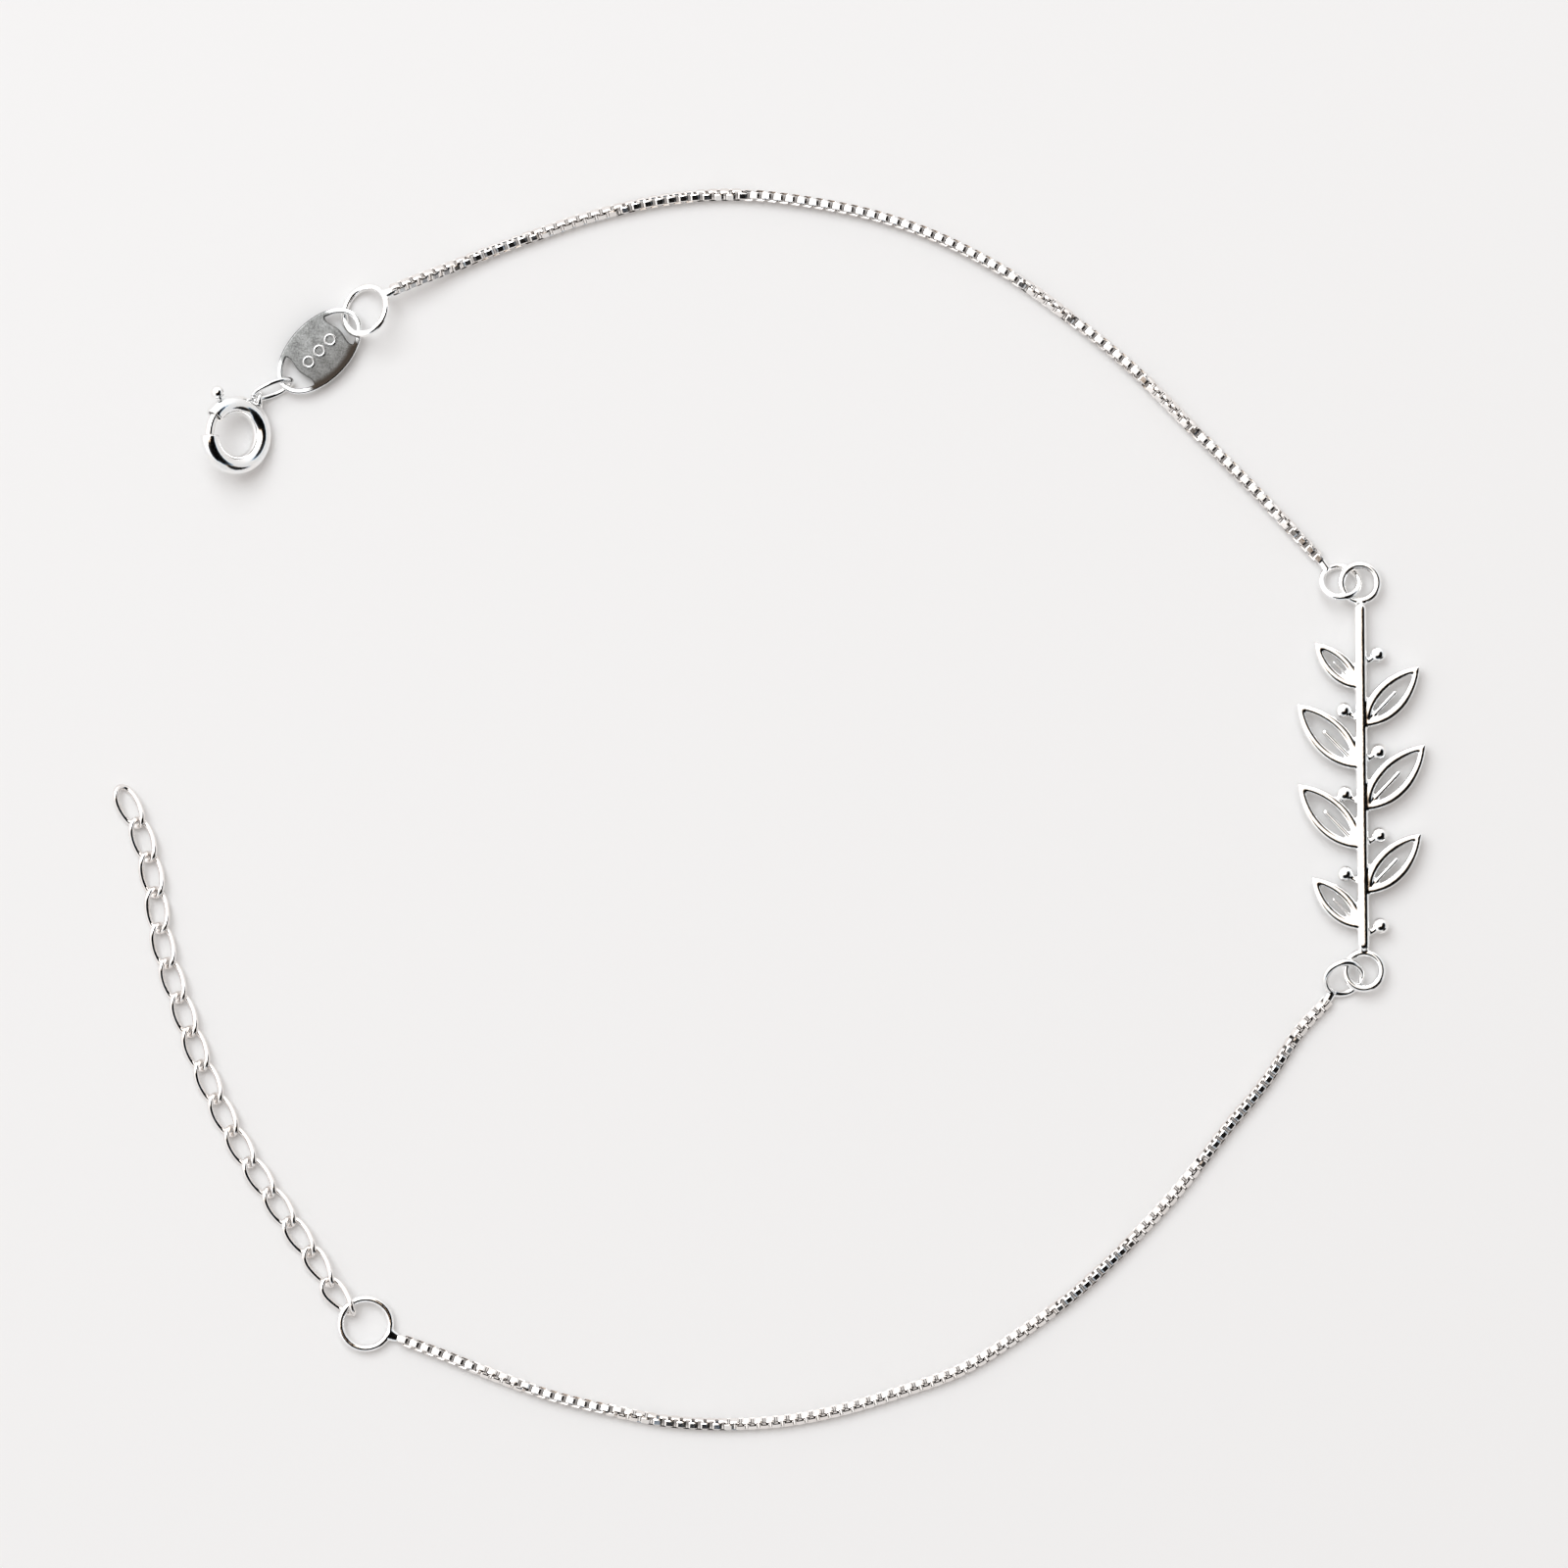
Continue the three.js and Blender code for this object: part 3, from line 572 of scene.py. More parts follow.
# Heights are shares of the charm's thickness, but a bud's is a share of its width. A vein's
# length is a share of its leaf's, and a leaf's opening keeps away from its foot and its tip
# by so many strokes. The edge is rounded through its middle, a share of the rounding.
charmLook = {
    "place": (36.193, 2.003),
    "turn": 0.6,
    "length": 23.7,
    "thickness": 0.9,
    "edge": 0.16,
    "edgeMiddle": 0.3,
    "stemWidth": 0.76,
    "loopOuter": 2.7,
    "loopWire": 0.5,
    "leafLength": 5.7,
    "leafWidth": 2.3,
    "leafHeight": 0.9,
    "leafStroke": 0.56,
    "leafPulls": (0.26, 0.68),
    "leafLean": 44,
    "footStrokes": 1.5,
    "tipStrokes": 1.35,
    "veinLength": 0.6,
    "veinWidth": 0.36,
    "veinHeight": 0.7,
    "budWidth": 1.02,
    "budHeight": 0.84,
    "budStalk": 1.25,
    "stalkHeight": 0.6,
    "budLean": 58,
    "voxel": 0.062,
    "softening": 5,
}
# For each leaf its side, how far up the stem its foot is, and its size, and for each bud its
# side and its foot
leaves = [(-1, 0.06, 0.8), (1, 0.16, 0.92), (-1, 0.29, 1), (1, 0.4, 1), (-1, 0.52, 1),
          (1, 0.64, 0.92), (-1, 0.75, 0.72)]
buds = [(1, 0.04), (-1, 0.19), (1, 0.3), (-1, 0.42), (1, 0.54), (-1, 0.66), (1, 0.82)]


# A closed outline from one half of it: out along the cubic (1-t)^3 p0 + 3 (1-t)^2 t p1
# + 3 (1-t) t^2 p2 + t^3 p3, and back along its mirror image across x
def outAndBack(p, count):
    t = np.linspace(0, 1, count, endpoint=False)[:, None]
    out, back = ((1 - s)**3 * p[0] + 3 * (1 - s)**2 * s * p[1]
                 + 3 * (1 - s) * s**2 * p[2] + s**3 * p[3] for s in (t, 1 - t))
    return np.vstack([out, back * np.array([1, -1])])


# A leaf's edge from (start, 0) to (end, 0) and back. A cubic whose two pulls stand equally
# far out reaches three quarters of the way to them.
def leafEdge(start, end, halfWidth, count=44):
    length, pull = end - start, halfWidth / 0.75
    first, second = (start + share * length for share in charmLook["leafPulls"])
    return outAndBack(np.array([[start, 0], [first, -pull], [second, -pull], [end, 0]]), count)


# A band between an outer and an inner outline, its four corners rounded by edge:
# point = outer + (inner - outer) f(v), height = h(v)
def openLeaf(length):
    look = charmLook
    halfWidth = look["leafWidth"] * length / look["leafLength"] / 2
    stroke, lift, middle = look["leafStroke"], look["edge"], look["edgeMiddle"]
    outer = leafEdge(0, length, halfWidth)
    inner = leafEdge(stroke * look["footStrokes"], length - stroke * look["tipStrokes"],
                     halfWidth - stroke)
    half, e = look["thickness"] * look["leafHeight"] / 2, lift / stroke
    me, ml = middle * e, middle * lift
    f = np.array([0, 0, me, e, 1 - e, 1 - me, 1, 1, 1 - me, 1 - e, e, me])
    h = np.array([-half + lift, half - lift, half - ml, half, half, half - ml,
                  half - lift, -half + lift, -half + ml, -half, -half, -half + ml])
    flat = outer[:, None, :] + (inner - outer)[:, None, :] * f[None, :, None]
    return np.concatenate([flat, np.broadcast_to(h[None, :, None], flat.shape[:2] + (1,))], -1)


# A bar with round ends along x: at a distance d from its end it is w sqrt(1 - (1 - d/w)^2)
# wide to each side, w being half its width. Its section is a soft rectangle,
# (cos^n v, sin^n v), and it is lower where it is narrower, down to the lowest share.
def softBar(length, width, thickness, count=40, across=24, power=0.62, lowest=0.55, short=0.03):
    x = (0.5 - 0.5 * np.cos(np.linspace(short, np.pi - short, count))) * length
    fromEnd = np.minimum(x, length - x)
    half = width / 2 * np.sqrt(np.clip(1 - (1 - np.clip(fromEnd / (width / 2), 0, 1))**2, 0, 1))
    v = np.linspace(0, 2 * np.pi, across, endpoint=False)
    y, z = (np.sign(part) * np.abs(part)**power for part in (np.cos(v), np.sin(v)))
    grid = np.zeros((count, across, 3))
    grid[:, :, 0] = x[:, None]
    grid[:, :, 1] = half[:, None] * y[None]
    grid[:, :, 2] = (thickness / 2 * z)[None] * (lowest + (1 - lowest) * half / half.max())[:, None]
    return grid


# Jump rings: where each lies from its loop, as a direction and a share of their radii, at
# which end of the charm, and which way it leans from the line to the loop
jumpWire = {"radius": 1.15, "wire": 0.45, "solderWidth": 0.6, "solderTip": 0.52, "flatness": 0.9}
jumpRings = {
    "upper": {"towards": 177, "share": 0.528, "end": 1, "leans": -90},
    "lower": {"towards": 200.5, "share": 0.585, "end": -1, "leans": 90},
}
loopRadius = (charmLook["loopOuter"] - charmLook["loopWire"]) / 2


# How far apart the middles of two pieces are where they pass: half of each, and the play
def passing(oneThickness, otherThickness):
    return (oneThickness + otherThickness) / 2 + play


# The middles of the charm's loop and of its jump ring: loop + apart (cos a, sin a)
def jumpRingPlace(ring):
    end = np.array([0, ring["end"] * charmLook["length"] / 2, 0])
    loop = (turnAbout("z", charmLook["turn"]) @ end)[:2] + np.array(charmLook["place"])
    apart = ring["share"] * (jumpWire["radius"] + loopRadius)
    angle = math.radians(ring["towards"])
    return loop, loop + apart * np.array([math.cos(angle), math.sin(angle)])


# The tilt that carries the ring under the loop on one side and over it on the other. The two
# circles cross at (d^2 + R^2 - r^2) / 2 d along the line between their middles, and there
# sin(tilt) = passing / distance from that line.
def jumpRingTilt(ring):
    loop, place = jumpRingPlace(ring)
    apart = np.linalg.norm(loop - place)
    radius = jumpWire["radius"]
    crossing = (apart**2 + radius**2 - loopRadius**2) / (2 * apart)
    rise = passing(jumpWire["wire"], charmLook["loopWire"])
    return math.degrees(math.asin(rise / math.sqrt(radius**2 - crossing**2)))


# The charm and its jump rings lie so high that the steeper ring just touches the surface:
# R sin(tilt) + half its wire
def charmHeight():
    tilt = math.radians(max(jumpRingTilt(ring) for ring in jumpRings.values()))
    return jumpWire["radius"] * math.sin(tilt) + jumpWire["wire"] / 2


# A stem along y with a loop at each end, leaves with their veins, and buds on their stalks,
# turned and moved to their place, and cast into one
def makeCharm():
    look = charmLook
    stem = look["length"] - 2 * loopRadius - look["loopWire"] / 2
    bar = softBar(stem, look["stemWidth"], look["thickness"], 90)
    grids = [(placed(bar - np.array([stem / 2, 0, 0]), turnAbout("z", 90), (0, 0, 0)), False)]
    for end in (-1, 1):
        loop = wireRing(loopRadius, look["loopWire"])
        grids.append((loop + np.array([0, end * look["length"] / 2, 0]), True))
    for side, foot, size in leaves:
        turn = turnAbout("z", 90 - side * look["leafLean"])
        place = (0, (foot - 0.5) * stem, 0)
        length = look["leafLength"] * size
        vein = softBar(length * look["veinLength"], look["veinWidth"] * size**2,
                       look["thickness"] * look["veinHeight"])
        grids.append((placed(openLeaf(length), turn, place), True))
        grids.append((placed(vein, turn, place), False))
    for side, foot in buds:
        turn = turnAbout("z", 90 - side * look["budLean"])
        place = (0, (foot - 0.5) * stem, 0)
        stalk = softBar(look["budStalk"], look["veinWidth"], look["thickness"] * look["stalkHeight"])
        r = look["budWidth"] / 2
        bud = ball((r, r, r * look["budHeight"])) + np.array([look["budStalk"], 0, 0])
        grids.append((placed(stalk, turn, place), False))
        grids.append((placed(bud, turn, place), False))
    turn = turnAbout("z", look["turn"])
    place = (*look["place"], charmHeight())
    charm = newPiece("sprigCharm", [(placed(g, turn, place), wraps) for g, wraps in grids])
    fused(charm, look["voxel"], look["softening"])
    return finished(charm, castSilver, "bracelet", ["charm"])


makeCharm()
print("charm cast")

# Soldered rings and curb links

# Each ring's wire, and its drop of solder: its width at the wire and at its tip, and its
# height as a share of its width
endWire = {"radius": 1.525, "wire": 0.45, "solderWidth": 0.95, "solderTip": 0.5, "flatness": 0.6}
# The tag crosses its ring at a share of the ring's radius
tagRing = {"place": (-24.687, 30.475), "towards": -27.5, "crossing": 0.54, "floorGap": 0.02}
# Lifts are shares of how far apart the ring and a link pass: the ring's higher side over its
# middle, and its lower side over the surface
extenderRing = {"place": (-24.697, -31.44), "towards": 135, "tiltLift": 0.29, "lift": 0.49}
solderLook = {"intoChain": 0.22, "easing": 1.6, "roundEnd": 0.3125, "voxel": 0.035, "softening": 5}

# The first links climb onto the ring by their lifts, shares of how far apart two links pass,
# and roll. The first one reaches into the ring by a share of how far apart those two pass.
linkLook = {
    "length": 3.0,
    "width": 1.55,
    "wire": 0.35,
    "twist": 0.28,
    "pitch": 2.2,
    "intoRing": 1.23,
    "lifts": (0.56, 0.29, 0.04),
    "rolls": (-23.2, -21, -5.4),
}
extenderRoute = [
    (-24.697, -31.44), (-26.417, -29.7), (-27.617, -27.8), (-30.017, -24.25), (-32.317, -20.7),
    (-34.267, -16.75), (-35.767, -12.6), (-37.067, -8.4), (-37.767, -4.05), (-38.307, -1.86),
    (-39.197, 0.25), (-40.447, 2.1),
]


# A drop of solder from the wire to the chain: its width eases from wide to narrow,
# w(t) = narrow + (wide - narrow) (1 - t)^easing, with sqrt(1 - e^2) for its round end, where
# e rises to 1. Its section is a flattened circle.
def solderDrop(root, tip, above, wire):
    t = np.linspace(0, 1, 26)
    along = unit(tip - root)
    across = unit(np.cross(above, along))
    flat = np.cross(along, across)
    e = np.clip(1 - (1 - t) / solderLook["roundEnd"], 0, 1)
    ends = np.sqrt(np.clip(1 - e**2, 0.02, 1))
    wide, narrow = wire["solderWidth"], wire["solderTip"]
    half = (narrow + (wide - narrow) * (1 - t)**solderLook["easing"]) / 2 * ends
    a = np.linspace(0, 2 * np.pi, 20, endpoint=False)
    points = root + (tip - root) * t[:, None]
    return (points[:, None, :] + (half[:, None] * np.cos(a))[..., None] * across
            + (half[:, None] * wire["flatness"] * np.sin(a))[..., None] * flat)


# A ring fused with its solder, which starts on the wire, at middle + R times the direction
# to the chain's end in the ring's plane, and reaches a little way into the chain
def solderedRing(name, wire, place, tilt, towards, chainEnd, replaced):
    turn = leaning(tilt, towards)
    ring = placed(wireRing(wire["radius"], wire["wire"]), turn, place)
    above = turn @ np.array([0.0, 0.0, 1.0])
    middle, end = np.array(place), np.array(chainEnd) * metre
    reach = end - middle
    root = middle + unit(reach - above * (reach @ above)) * wire["radius"]
    tip = end + unit(end - root) * solderLook["intoChain"]
    piece = newPiece(name, [(ring, True), (solderDrop(root, tip, above, wire), False)])
    fused(piece, solderLook["voxel"], solderLook["softening"])
    return finished(piece, wireSilver, "bracelet", replaced)


# sin(tilt) = passing / (crossing R), and the height is R sin(tilt) + half the wire + a gap
def makeTagRing():
    look, radius, wire = tagRing, endWire["radius"], endWire["wire"]
    tilt = math.asin(passing(wire, tagShape["thickness"]) / (look["crossing"] * radius))
    height = radius * math.sin(tilt) + wire / 2 + look["floorGap"]
    solderedRing("tagRing", endWire, (*look["place"], height), math.degrees(tilt),
                 look["towards"], upperChainRoute[0], ["tag_ring"])


# sin(tilt) = tiltLift passing / R, and the height is half the wire + both lifts
def makeExtenderRing():
    look, ringPassing = extenderRing, passing(linkLook["wire"], endWire["wire"])
    rise = look["tiltLift"] * ringPassing
    tilt = math.degrees(math.asin(rise / endWire["radius"]))
    height = endWire["wire"] / 2 + rise + look["lift"] * ringPassing
    solderedRing("extenderRing", endWire, (*look["place"], height), tilt, look["towards"],
                 lowerChainRoute[-1], ["extender_ring"])


# A jump ring leans across the line from its own middle to the loop's
def makeJumpRing(name, chainEnd):
    ring = jumpRings[name]
    loop, place = jumpRingPlace(ring)
    line = math.degrees(math.atan2(loop[1] - place[1], loop[0] - place[0]))
    solderedRing(name + "JumpRing", jumpWire, (*place, charmHeight()), jumpRingTilt(ring),
                 line + ring["leans"], chainEnd, ["jump_ring_" + name])


makeTagRing()
makeExtenderRing()
makeJumpRing("upper", upperChainRoute[-1])
makeJumpRing("lower", lowerChainRoute[0])
print("rings soldered")


# A link of wire carried along (a cos u, b sin u, c sin 2u)
def linkLoop(length, width, wire, twist, around=72):
    u = np.linspace(0, 2 * np.pi, around, endpoint=False)
    curve = np.stack([(length - wire) / 2 * np.cos(u), (width - wire) / 2 * np.sin(u),
                      twist * np.sin(2 * u)], -1)
    return wireLoop(curve, wire)


# A link's turn: its length lies along the direction, and it rolls about that
def linkTurn(direction, roll):
    along = unit(np.array(direction, float))
    side, top = crossFrame(along)
    return np.stack([along, side, top], 1) @ turnAbout("x", roll)


# Links at equal steps along the route. Each slopes by the rise from the link before it to
# the link after it.
def makeExtender():
    look = linkLook
    dense = smoothRoute(extenderRoute, 200)
    radius = (look["length"] - look["wire"]) / 2
    first = endWire["radius"] + radius
    first -= look["intoRing"] * passing(look["wire"], endWire["wire"])
    count = int((reachedAlong(dense)[-1] - first - radius) / look["pitch"]) + 1
    middles, along = alongRoute(dense, first + np.arange(count) * look["pitch"])
    lifts = np.zeros(count + 1)
    lifts[:len(look["lifts"])] = look["lifts"]
    heights = look["twist"] + look["wire"] / 2 + passing(look["wire"], look["wire"]) * lifts
    rolls = np.zeros(count)
    rolls[:len(look["rolls"])] = look["rolls"]
    shape = linkLoop(look["length"], look["width"], look["wire"], look["twist"])
    for i in range(count):
        slope = (heights[i + 1] - heights[max(i - 1, 0)]) / (2 * look["pitch"])
        turn = linkTurn((*along[i], slope), rolls[i])
        grid = placed(shape, turn, (*middles[i], heights[i]))
        number = f"{i + 1:02d}"
        piece = newPiece("curbLink" + number, [(grid, True)])
        finished(piece, linkSilver, "bracelet", ["extender_link_" + number])
    print("extender links:", count)


makeExtender()

# Clasp

# Angles go round the clasp's own middle, in its own plane. The knob's curve is a list of
# distances above its foot, with its radius there as a share of half its width.
claspLook = {
    "place": (-32.557, 22.873, 1.647),
    "tilt": 35,
    "radius": 1.85,
    "tube": 0.575,
    "bore": 0.405,
    "mouthFrom": 182,
    "mouthTo": 505,
    "slotFrom": 70.5,
    "slotTo": 123.5,
    "slotWidth": 0.5,
    "slotInner": 0.14,
    "slotOuter": 1.2,
    "bevel": 0.02,
    "boltWire": 0.56,
    "boltFrom": 100,
    "boltTo": 188,
    "neckWidth": 0.3,
    "knobAngle": 117,
    "knobWidth": 0.84,
    "knobGap": 0.11,
    "knobCurve": ((0.02, 0.62), (0.09, 0.86), (0.2, 0.98), (0.33, 1), (0.46, 0.95),
                  (0.58, 0.80), (0.67, 0.56), (0.72, 0.3), (0.74, 0.04)),
    "eyeRadius": 0.48,
    "eyeWire": 0.34,
    "eyeAngle": 52,
    "eyeDistance": 2.805,
    "fillet": (0.26, 0.22, 0.22),
    "filletIn": 0.02,
    "voxel": 0.03,
    "softening": 5,
}
claspTurn = turnAbout("y", claspLook["tilt"])


# The point at an angle and a distance in the clasp's plane: turn (d cos a, d sin a, 0) + place
def claspPoint(degrees, distance):
    angle = math.radians(degrees)
    direction = np.array([math.cos(angle), math.sin(angle), 0])
    return claspTurn @ (direction * distance) + np.array(claspLook["place"])


# A hollow tube bent round: along the path go the angle u and the tube radius r(u), out
# over the outside, round the lip, and back along the bore. ((R + r cos v) cos u, ...)
def hollowTube(look, outside=150, inside=90, lipSteps=7, across=48):
    lip = (look["tube"] - look["bore"]) / 2
    lipMiddle = (look["tube"] + look["bore"]) / 2
    start, end = math.radians(look["mouthFrom"]), math.radians(look["mouthTo"])
    inset = lip / look["radius"]
    bend = np.linspace(-np.pi / 2, np.pi / 2, lipSteps)[1:-1]
    angle = np.concatenate([
        np.linspace(start + inset, end - inset, outside), end - inset + inset * np.cos(bend),
        np.linspace(end - inset, start + inset, inside), start + inset - inset * np.cos(bend)])
    radius = np.concatenate([
        np.full(outside, look["tube"]), lipMiddle - lip * np.sin(bend),
        np.full(inside, look["bore"]), lipMiddle + lip * np.sin(bend)])
    v = np.linspace(0, 2 * np.pi, across, endpoint=False)[None, :]
    r = look["radius"] + radius[:, None] * np.cos(v)
    u = angle[:, None]
    return np.stack([r * np.cos(u), r * np.sin(u), radius[:, None] * np.sin(v)], -1)


# A bent rod with round ends: tube radius r sqrt(1 - e^2), e rising to 1 at each end
def bentRod(radius, rod, start, end, count=90, across=28):
    a = np.radians(np.linspace(start, end, count))
    fromEnd = np.minimum(a - a[0], a[-1] - a) * radius
    e = 1 - np.clip(fromEnd / rod, 0, 1)
    r = rod * np.sqrt(np.clip(1 - e**2, 0.01, 1))
    v = np.linspace(0, 2 * np.pi, across, endpoint=False)
    out = radius + r[:, None] * np.cos(v)
    return np.stack([out * np.cos(a)[:, None], out * np.sin(a)[:, None],
                     r[:, None] * np.sin(v)], -1)


# A turned shape: (x, r cos v, r sin v) for a profile of distances x and radii r
def turnedShape(profile, count=32):
    x, r = np.array(profile).T
    v = np.linspace(0, 2 * np.pi, count, endpoint=False)
    return np.stack([np.repeat(x[:, None], count, 1), r[:, None] * np.cos(v),
                     r[:, None] * np.sin(v)], -1)


# The curved block that cuts the slot: corners (r cos a, r sin a, z), with r from inner to
# outer and z half the slot's width to each side
def slotBlock(look):
    a = np.radians(np.linspace(look["slotFrom"], look["slotTo"], 30))[:, None]
    inner, outer = look["radius"] + look["slotInner"], look["radius"] + look["slotOuter"]
    half = look["slotWidth"] / 2
    r = np.array([[inner, outer, outer, inner]])
    z = np.array([[-half, -half, half, half]])
    return np.stack([r * np.cos(a), r * np.sin(a), z + 0 * a], -1)


# The tube with the slot that the knob's neck runs in, its edges bevelled
def makeClaspBody():
    look = claspLook
    body = newPiece("claspBody", [(hollowTube(look), True)])
    cutter = newPiece("slotBlock", [(slotBlock(look), False)])
    cut = body.modifiers.new("slot", "BOOLEAN")
    cut.operation = "DIFFERENCE"
    cut.object = cutter
    cut.solver = "EXACT"
    settle(body)
    bpy.data.objects.remove(cutter)
    body.data.transform(Matrix(claspTurn.tolist()).to_4x4())
    body.data.transform(Matrix.Translation(look["place"]))
    bevel = body.modifiers.new("edges", "BEVEL")
    bevel.width = look["bevel"]
    bevel.segments = 2
    bevel.limit_method = "ANGLE"
    bevel.angle_limit = math.radians(40)
    settle(body)
    finished(body, wireSilver, "bracelet", ["clasp_ring"], sharpAbove=40)


# The eye stands upright beside the tube, with a fillet of solder at its foot
def makeClaspEye():
    look = claspLook
    eye = wireRing(look["eyeRadius"], look["eyeWire"], 72, 20) @ turnAbout("y", 90).T
    middle = claspPoint(look["eyeAngle"], look["eyeDistance"])
    foot = claspPoint(look["eyeAngle"], look["radius"] + look["tube"] - look["filletIn"])
    fillet = placed(ball(look["fillet"]), claspTurn @ turnAbout("z", look["eyeAngle"]), foot)
    piece = newPiece("claspEye", [(eye + middle, True), (fillet, False)])
    fused(piece, look["voxel"], look["softening"])
    finished(piece, wireSilver, "bracelet")


# A turned thumb knob on its neck, whose axis runs outwards from the middle of the tube: radius
# as a function of distance. The neck flares a little just under the knob.
def thumbKnob(look):
    w, neck = look["knobWidth"] / 2, look["neckWidth"] / 2
    foot = look["tube"] + look["knobGap"]
    profile = [(0.0, 0.02), (0.0, neck), (foot - 0.03, neck), (foot, neck + 0.07)]
    profile += [(foot + rise, share * w) for rise, share in look["knobCurve"]]
    knob = turnedShape(profile) + np.array([look["radius"], 0, 0])
    return knob @ turnAbout("z", look["knobAngle"]).T


# The sprung bolt and its knob
def makeClaspBolt():
    look = claspLook
    rod = bentRod(look["radius"], look["boltWire"] / 2, look["boltFrom"], look["boltTo"])
    grids = [(placed(grid, claspTurn, look["place"]), False) for grid in (rod, thumbKnob(look))]
    bolt = newPiece("claspBolt", grids)
    finished(bolt, wireSilver, "clasp_bolt", ["clasp_bolt"], sharpAbove=60)


makeClaspBody()
makeClaspEye()
makeClaspBolt()
print("clasp made")

# Tag and its link

tagTurn = (turnAbout("z", tagShape["turn"]) @ turnAbout("y", -tagShape["slope"])
           @ turnAbout("x", tagShape["roll"]))


# A closed outline moved outwards by a distance: point + distance (dy, -dx)
def offsetOutline(points, distance):
    along = unit(np.roll(points, -1, 0) - np.roll(points, 1, 0))
    return points + distance * np.stack([along[:, 1], -along[:, 0]], -1)


# A half-moon hole: an arc of an ellipse, closed by two cubics with a slight bulge. Each
# cubic's pulls stand at shares of the arc's end height.
def halfMoon(look, pulls=(0.72, 0.4)):
    halfLength = look["length"] / 2 - look["rim"]
    halfWidth = look["width"] / 2 - look["rim"]
    middle = look["middle"] / 2
    start = middle + look["holeCorner"] * look["rim"]
    last = math.acos(start / halfLength)
    a = np.linspace(-last, last, 44, endpoint=False)
    arc = np.stack([halfLength * np.cos(a), halfWidth * np.sin(a)], -1)
    top = halfWidth * math.sin(last)
    bulge = middle + look["holeBulge"]
    p = np.array([[start, top], [middle - look["holeHollow"], top * pulls[0]],
                  [bulge, top * pulls[1]], [bulge, 0]])
    return np.vstack([arc, outAndBack(p, 18)])


# A plate from its outlines, the first one outside and the others its holes, with a round
# edge whose radius is edge. Outlines stand inside the metal by that radius.
def roundedPlate(loops, thickness, edge):
    curve = bpy.data.curves.new("tagOutline", "CURVE")
    curve.dimensions = "2D"
    curve.fill_mode = "BOTH"
    curve.extrude = thickness / 2 - edge
    curve.bevel_depth = edge
    curve.bevel_resolution = 4
    for points in loops:
        spline = curve.splines.new("POLY")
        spline.points.add(len(points) - 1)
        rows = np.concatenate([points, np.zeros((len(points), 1)), np.ones((len(points), 1))], 1)
        spline.points.foreach_set("co", rows.ravel())
        spline.use_cyclic_u = True
    drawn = newObject("tagOutline", curve)
    graph = bpy.context.evaluated_depsgraph_get()
    mesh = bpy.data.meshes.new_from_object(drawn.evaluated_get(graph))
    bpy.data.objects.remove(drawn)
    cleaned(mesh, together=0.0005)
    return mesh


# A sharp line round each flat face keeps the round edge from shading it. A face is flat
# where its normal . upright is nearly 1.
def sharpRound(mesh, upright):
    work = bmesh.new()
    work.from_mesh(mesh)
    for edge in work.edges:
        flat = [abs(face.normal.dot(upright)) > 0.9999 for face in edge.link_faces]
        if any(flat) and not all(flat):
            edge.smooth = False
    work.to_mesh(mesh)
    work.free()


# The oval plate (a cos u, b sin u) with a half-moon hole at each end. Each point keeps its
# own place in the tag for the finish.
def makeTagPlate():
    look = tagShape
    u = np.linspace(0, 2 * np.pi, 160, endpoint=False)
    outline = np.stack([look["length"] / 2 * np.cos(u), look["width"] / 2 * np.sin(u)], -1)
    hole = offsetOutline(halfMoon(look), look["edge"])
    loops = [offsetOutline(outline, -look["edge"]), hole, hole * np.array([-1, 1])]
    mesh = roundedPlate(loops, look["thickness"], look["edge"])
    tag = newObject("tagPlate", mesh)
    places = np.empty(len(mesh.vertices) * 3)
    mesh.vertices.foreach_get("co", places)
    own = mesh.attributes.new("tagPlace", "FLOAT_VECTOR", "POINT")
    own.data.foreach_set("vector", places)
    mesh.transform(Matrix(tagTurn.tolist()).to_4x4())
    mesh.transform(Matrix.Translation(look["place"]))
    finished(tag, tagSilver, "bracelet", ["tag"], sharpAbove=50)
    sharpRound(tag.data, Vector(tagTurn @ np.array([0.0, 0.0, 1.0])))


# Three raised rings in a row on the tag's face
def makeTagMarks():
    look = tagShape
    mark = wireRing((look["markOuter"] - look["markWire"]) / 2, look["markWire"], 48, 14)
    height = look["thickness"] / 2 - look["markSink"]
    steps = [np.array([s * look["markSpacing"], 0, height]) for s in (-1, 0, 1)]
    grids = [(placed(mark + step, tagTurn, look["place"]), True) for step in steps]
    finished(newPiece("tagMarks", grids), markSilver, "bracelet")


makeTagPlate()
makeTagMarks()

# The link hangs between the eye and the tag's rim, a little off the point midway
claspLinkLook = {
    "length": 2.9,
    "width": 1.65,
    "wire": 0.33,
    "turn": 21.9,
    "slope": -13.6,
    "roll": 60.1,
    "offMiddle": (0, 0.226, 0.151),
}


# An oval link about (eye + rim) / 2 + offMiddle, along (cos turn, sin turn, tan slope)
def makeClaspLink():
    look = claspLinkLook
    eyeMiddle = claspPoint(claspLook["eyeAngle"], claspLook["eyeDistance"])
    tagEnd = np.array([(tagShape["rim"] - tagShape["length"]) / 2, 0, 0])
    tagEnd = tagTurn @ tagEnd + np.array(tagShape["place"])
    middle = (eyeMiddle + tagEnd) / 2 + np.array(look["offMiddle"])
    turned = math.radians(look["turn"])
    direction = (math.cos(turned), math.sin(turned), math.tan(math.radians(look["slope"])))
    shape = linkLoop(look["length"], look["width"], look["wire"], 0)
    grid = placed(shape, linkTurn(direction, look["roll"]), middle)
    piece = newPiece("claspLink", [(grid, True)])
    finished(piece, wireSilver, "bracelet", ["clasp_link"])


makeClaspLink()
print("tag and clasp link made")

# Floor, light and camera

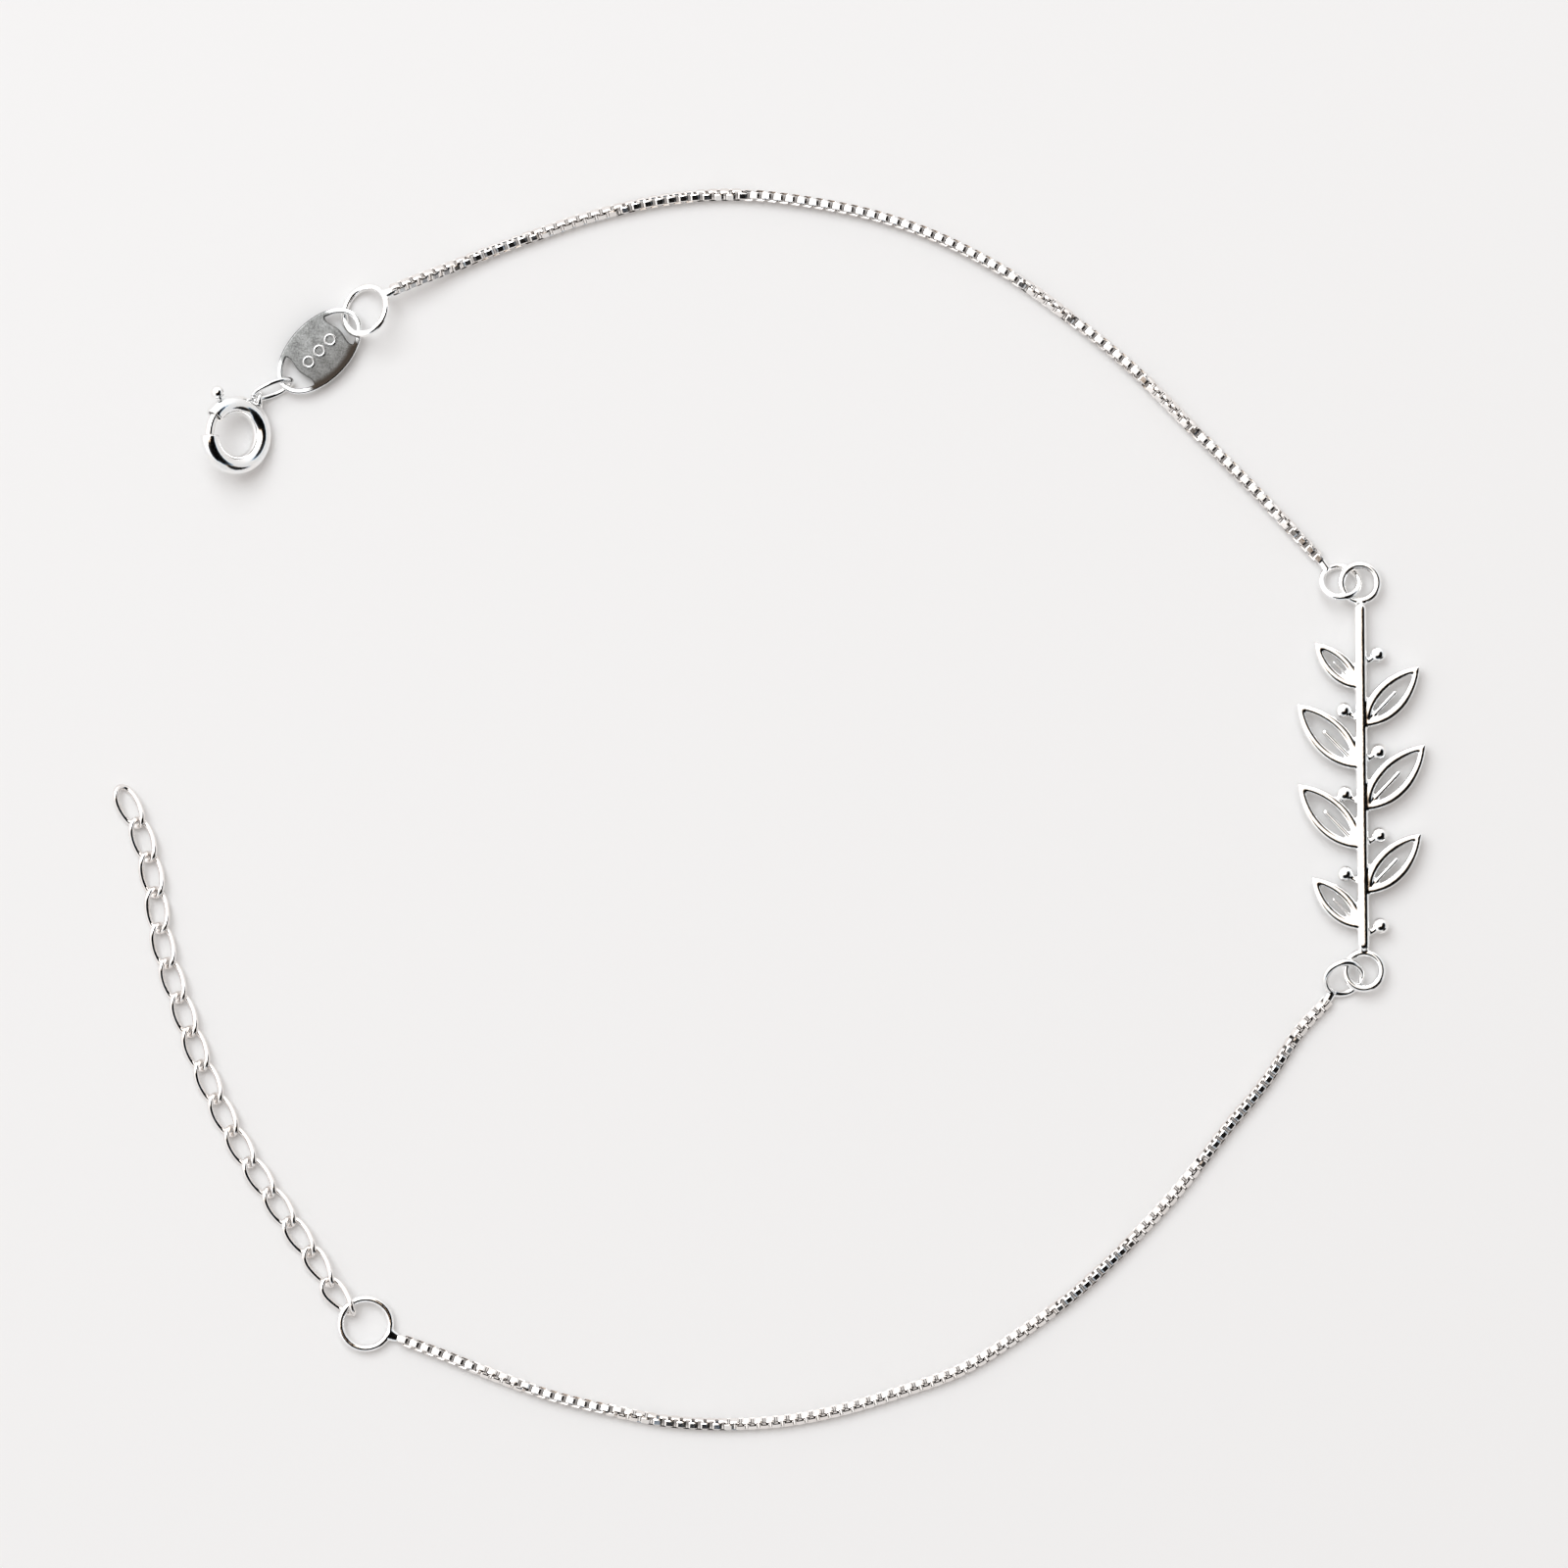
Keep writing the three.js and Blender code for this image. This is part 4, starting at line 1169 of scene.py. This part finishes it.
floorLook = {"size": 0.9, "colour": (0.86, 0.852, 0.845, 1), "roughness": 0.6, "shine": 0.2}


# A square of pale surface under everything, its corners (+-h, +-h, 0)
def makeFloor():
    look = floorLook
    h = look["size"] / 2
    mesh = bpy.data.meshes.new("floor")
    mesh.from_pydata([(-h, -h, 0), (h, -h, 0), (h, h, 0), (-h, h, 0)], [], [(0, 1, 2, 3)])
    floor = newObject("floor", mesh)
    paint, *_, shader = newMaterial("paleSurface")
    shader.inputs["Base Color"].default_value = look["colour"]
    shader.inputs["Roughness"].default_value = look["roughness"]
    shader.inputs["Specular IOR Level"].default_value = look["shine"]
    mesh.materials.append(paint)


makeFloor()

# Each patch is (off zenith, towards, radius wholly dark, radius where it ends), in degrees
lightLook = {
    "surround": 0.58,
    "glow": (0.8, 1.32),
    "glowRange": (-0.3, 0.7),
    "glowAt": (45, 135),
    "dark": 0.02,
    "patches": (
        (37, 13, 20, 25), (35, -24, 24, 28), (35, -62, 24, 28), (36, -98, 22, 27),
        (76, -45, 15, 22),
    ),
    "fringe": 0.5,
    "lowTint": (1.02, 0.99, 0.975, 1),
    "highTint": (1.04, 0.985, 0.955, 1),
    "keyTint": (0.955, 1.0, 1.035),
    "key": 8.2,
    "keyAt": (-0.32, 0.5, 1.0),
    "keySize": 0.84,
}


# The direction at an angle off the zenith, towards a compass direction: (sin a cos b,
# sin a sin b, cos a)
def skyDirection(offZenith, towards):
    a, b = math.radians(offZenith), math.radians(towards)
    return (math.sin(a) * math.cos(b), math.sin(a) * math.sin(b), math.cos(a))


# A smooth step of direction . centre, from one value to another
def skyStep(nodes, links, direction, centre, fromRange, toRange):
    facing = nodes.new("ShaderNodeVectorMath")
    facing.operation = "DOT_PRODUCT"
    facing.inputs[1].default_value = centre
    links.new(direction, facing.inputs[0])
    return mapped(nodes, links, facing.outputs["Value"], fromRange, toRange)


# The white tent that the silver reflects, brightest at the upper left, with dark patches
# round from the right to below. Only reflections see them, and their red, green and blue
# edges lie a little apart. Everything else is lit by a plain tint.
def lightTent():
    look = lightLook
    world = bpy.data.worlds.new("tent")
    bpy.context.scene.world = world
    world.use_nodes = True
    nodes, links = world.node_tree.nodes, world.node_tree.links
    nodes.clear()
    place = nodes.new("ShaderNodeTexCoord")
    direction = place.outputs["Generated"]
    glowAt = skyDirection(*look["glowAt"])
    glow = skyStep(nodes, links, direction, glowAt, look["glowRange"], look["glow"])
    mirrorColour = nodes.new("ShaderNodeCombineColor")
    for channel, shift in zip(("Red", "Green", "Blue"), (1, 0, -1)):
        lit = glow
        for offZenith, towards, whole, gone in look["patches"]:
            centre = skyDirection(offZenith + shift * look["fringe"], towards)
            edge = (math.cos(math.radians(gone)), math.cos(math.radians(whole)))
            dimming = skyStep(nodes, links, direction, centre, edge, (1, look["dark"]))
            lit = combined(nodes, links, "MULTIPLY", dimming, lit)
        links.new(lit, mirrorColour.inputs[channel])
    mirror = nodes.new("ShaderNodeBackground")
    links.new(mirrorColour.outputs["Color"], mirror.inputs["Color"])
    plain = nodes.new("ShaderNodeBackground")
    plain.inputs["Strength"].default_value = look["surround"]
    height = nodes.new("ShaderNodeSeparateXYZ")
    links.new(direction, height.inputs[0])
    tint = rampOf(nodes, links, height.outputs["Z"], (0, 1), (look["lowTint"], look["highTint"]))
    links.new(tint, plain.inputs["Color"])
    path = nodes.new("ShaderNodeLightPath")
    choose = nodes.new("ShaderNodeMixShader")
    links.new(path.outputs["Is Glossy Ray"], choose.inputs["Fac"])
    links.new(plain.outputs["Background"], choose.inputs[1])
    links.new(mirror.outputs["Background"], choose.inputs[2])
    out = nodes.new("ShaderNodeOutputWorld")
    links.new(choose.outputs["Shader"], out.inputs["Surface"])


# A soft light at the upper left that faces the bracelet's middle
def softKey():
    look = lightLook
    light = bpy.data.lights.new("softKey", "AREA")
    light.energy = look["key"]
    light.size = look["keySize"]
    light.color = look["keyTint"]
    key = newObject("softKey", light)
    key.location = look["keyAt"]
    key.rotation_euler = (-Vector(look["keyAt"])).to_track_quat("-Z", "Y").to_euler()


lightTent()
softKey()

cameraLook = {"lens": 180, "height": 0.48, "middle": (0.000893, 0.001553), "sees": (0.01, 10)}


# The camera looks straight down
def placeCamera():
    look = cameraLook
    eye = bpy.data.cameras.new("camera")
    eye.lens = look["lens"]
    eye.clip_start, eye.clip_end = look["sees"]
    camera = newObject("camera", eye)
    camera.location = (*look["middle"], look["height"])
    bpy.context.scene.camera = camera
    bpy.context.scene.view_settings.view_transform = "Standard"


placeCamera()
print("floor, light and camera set")
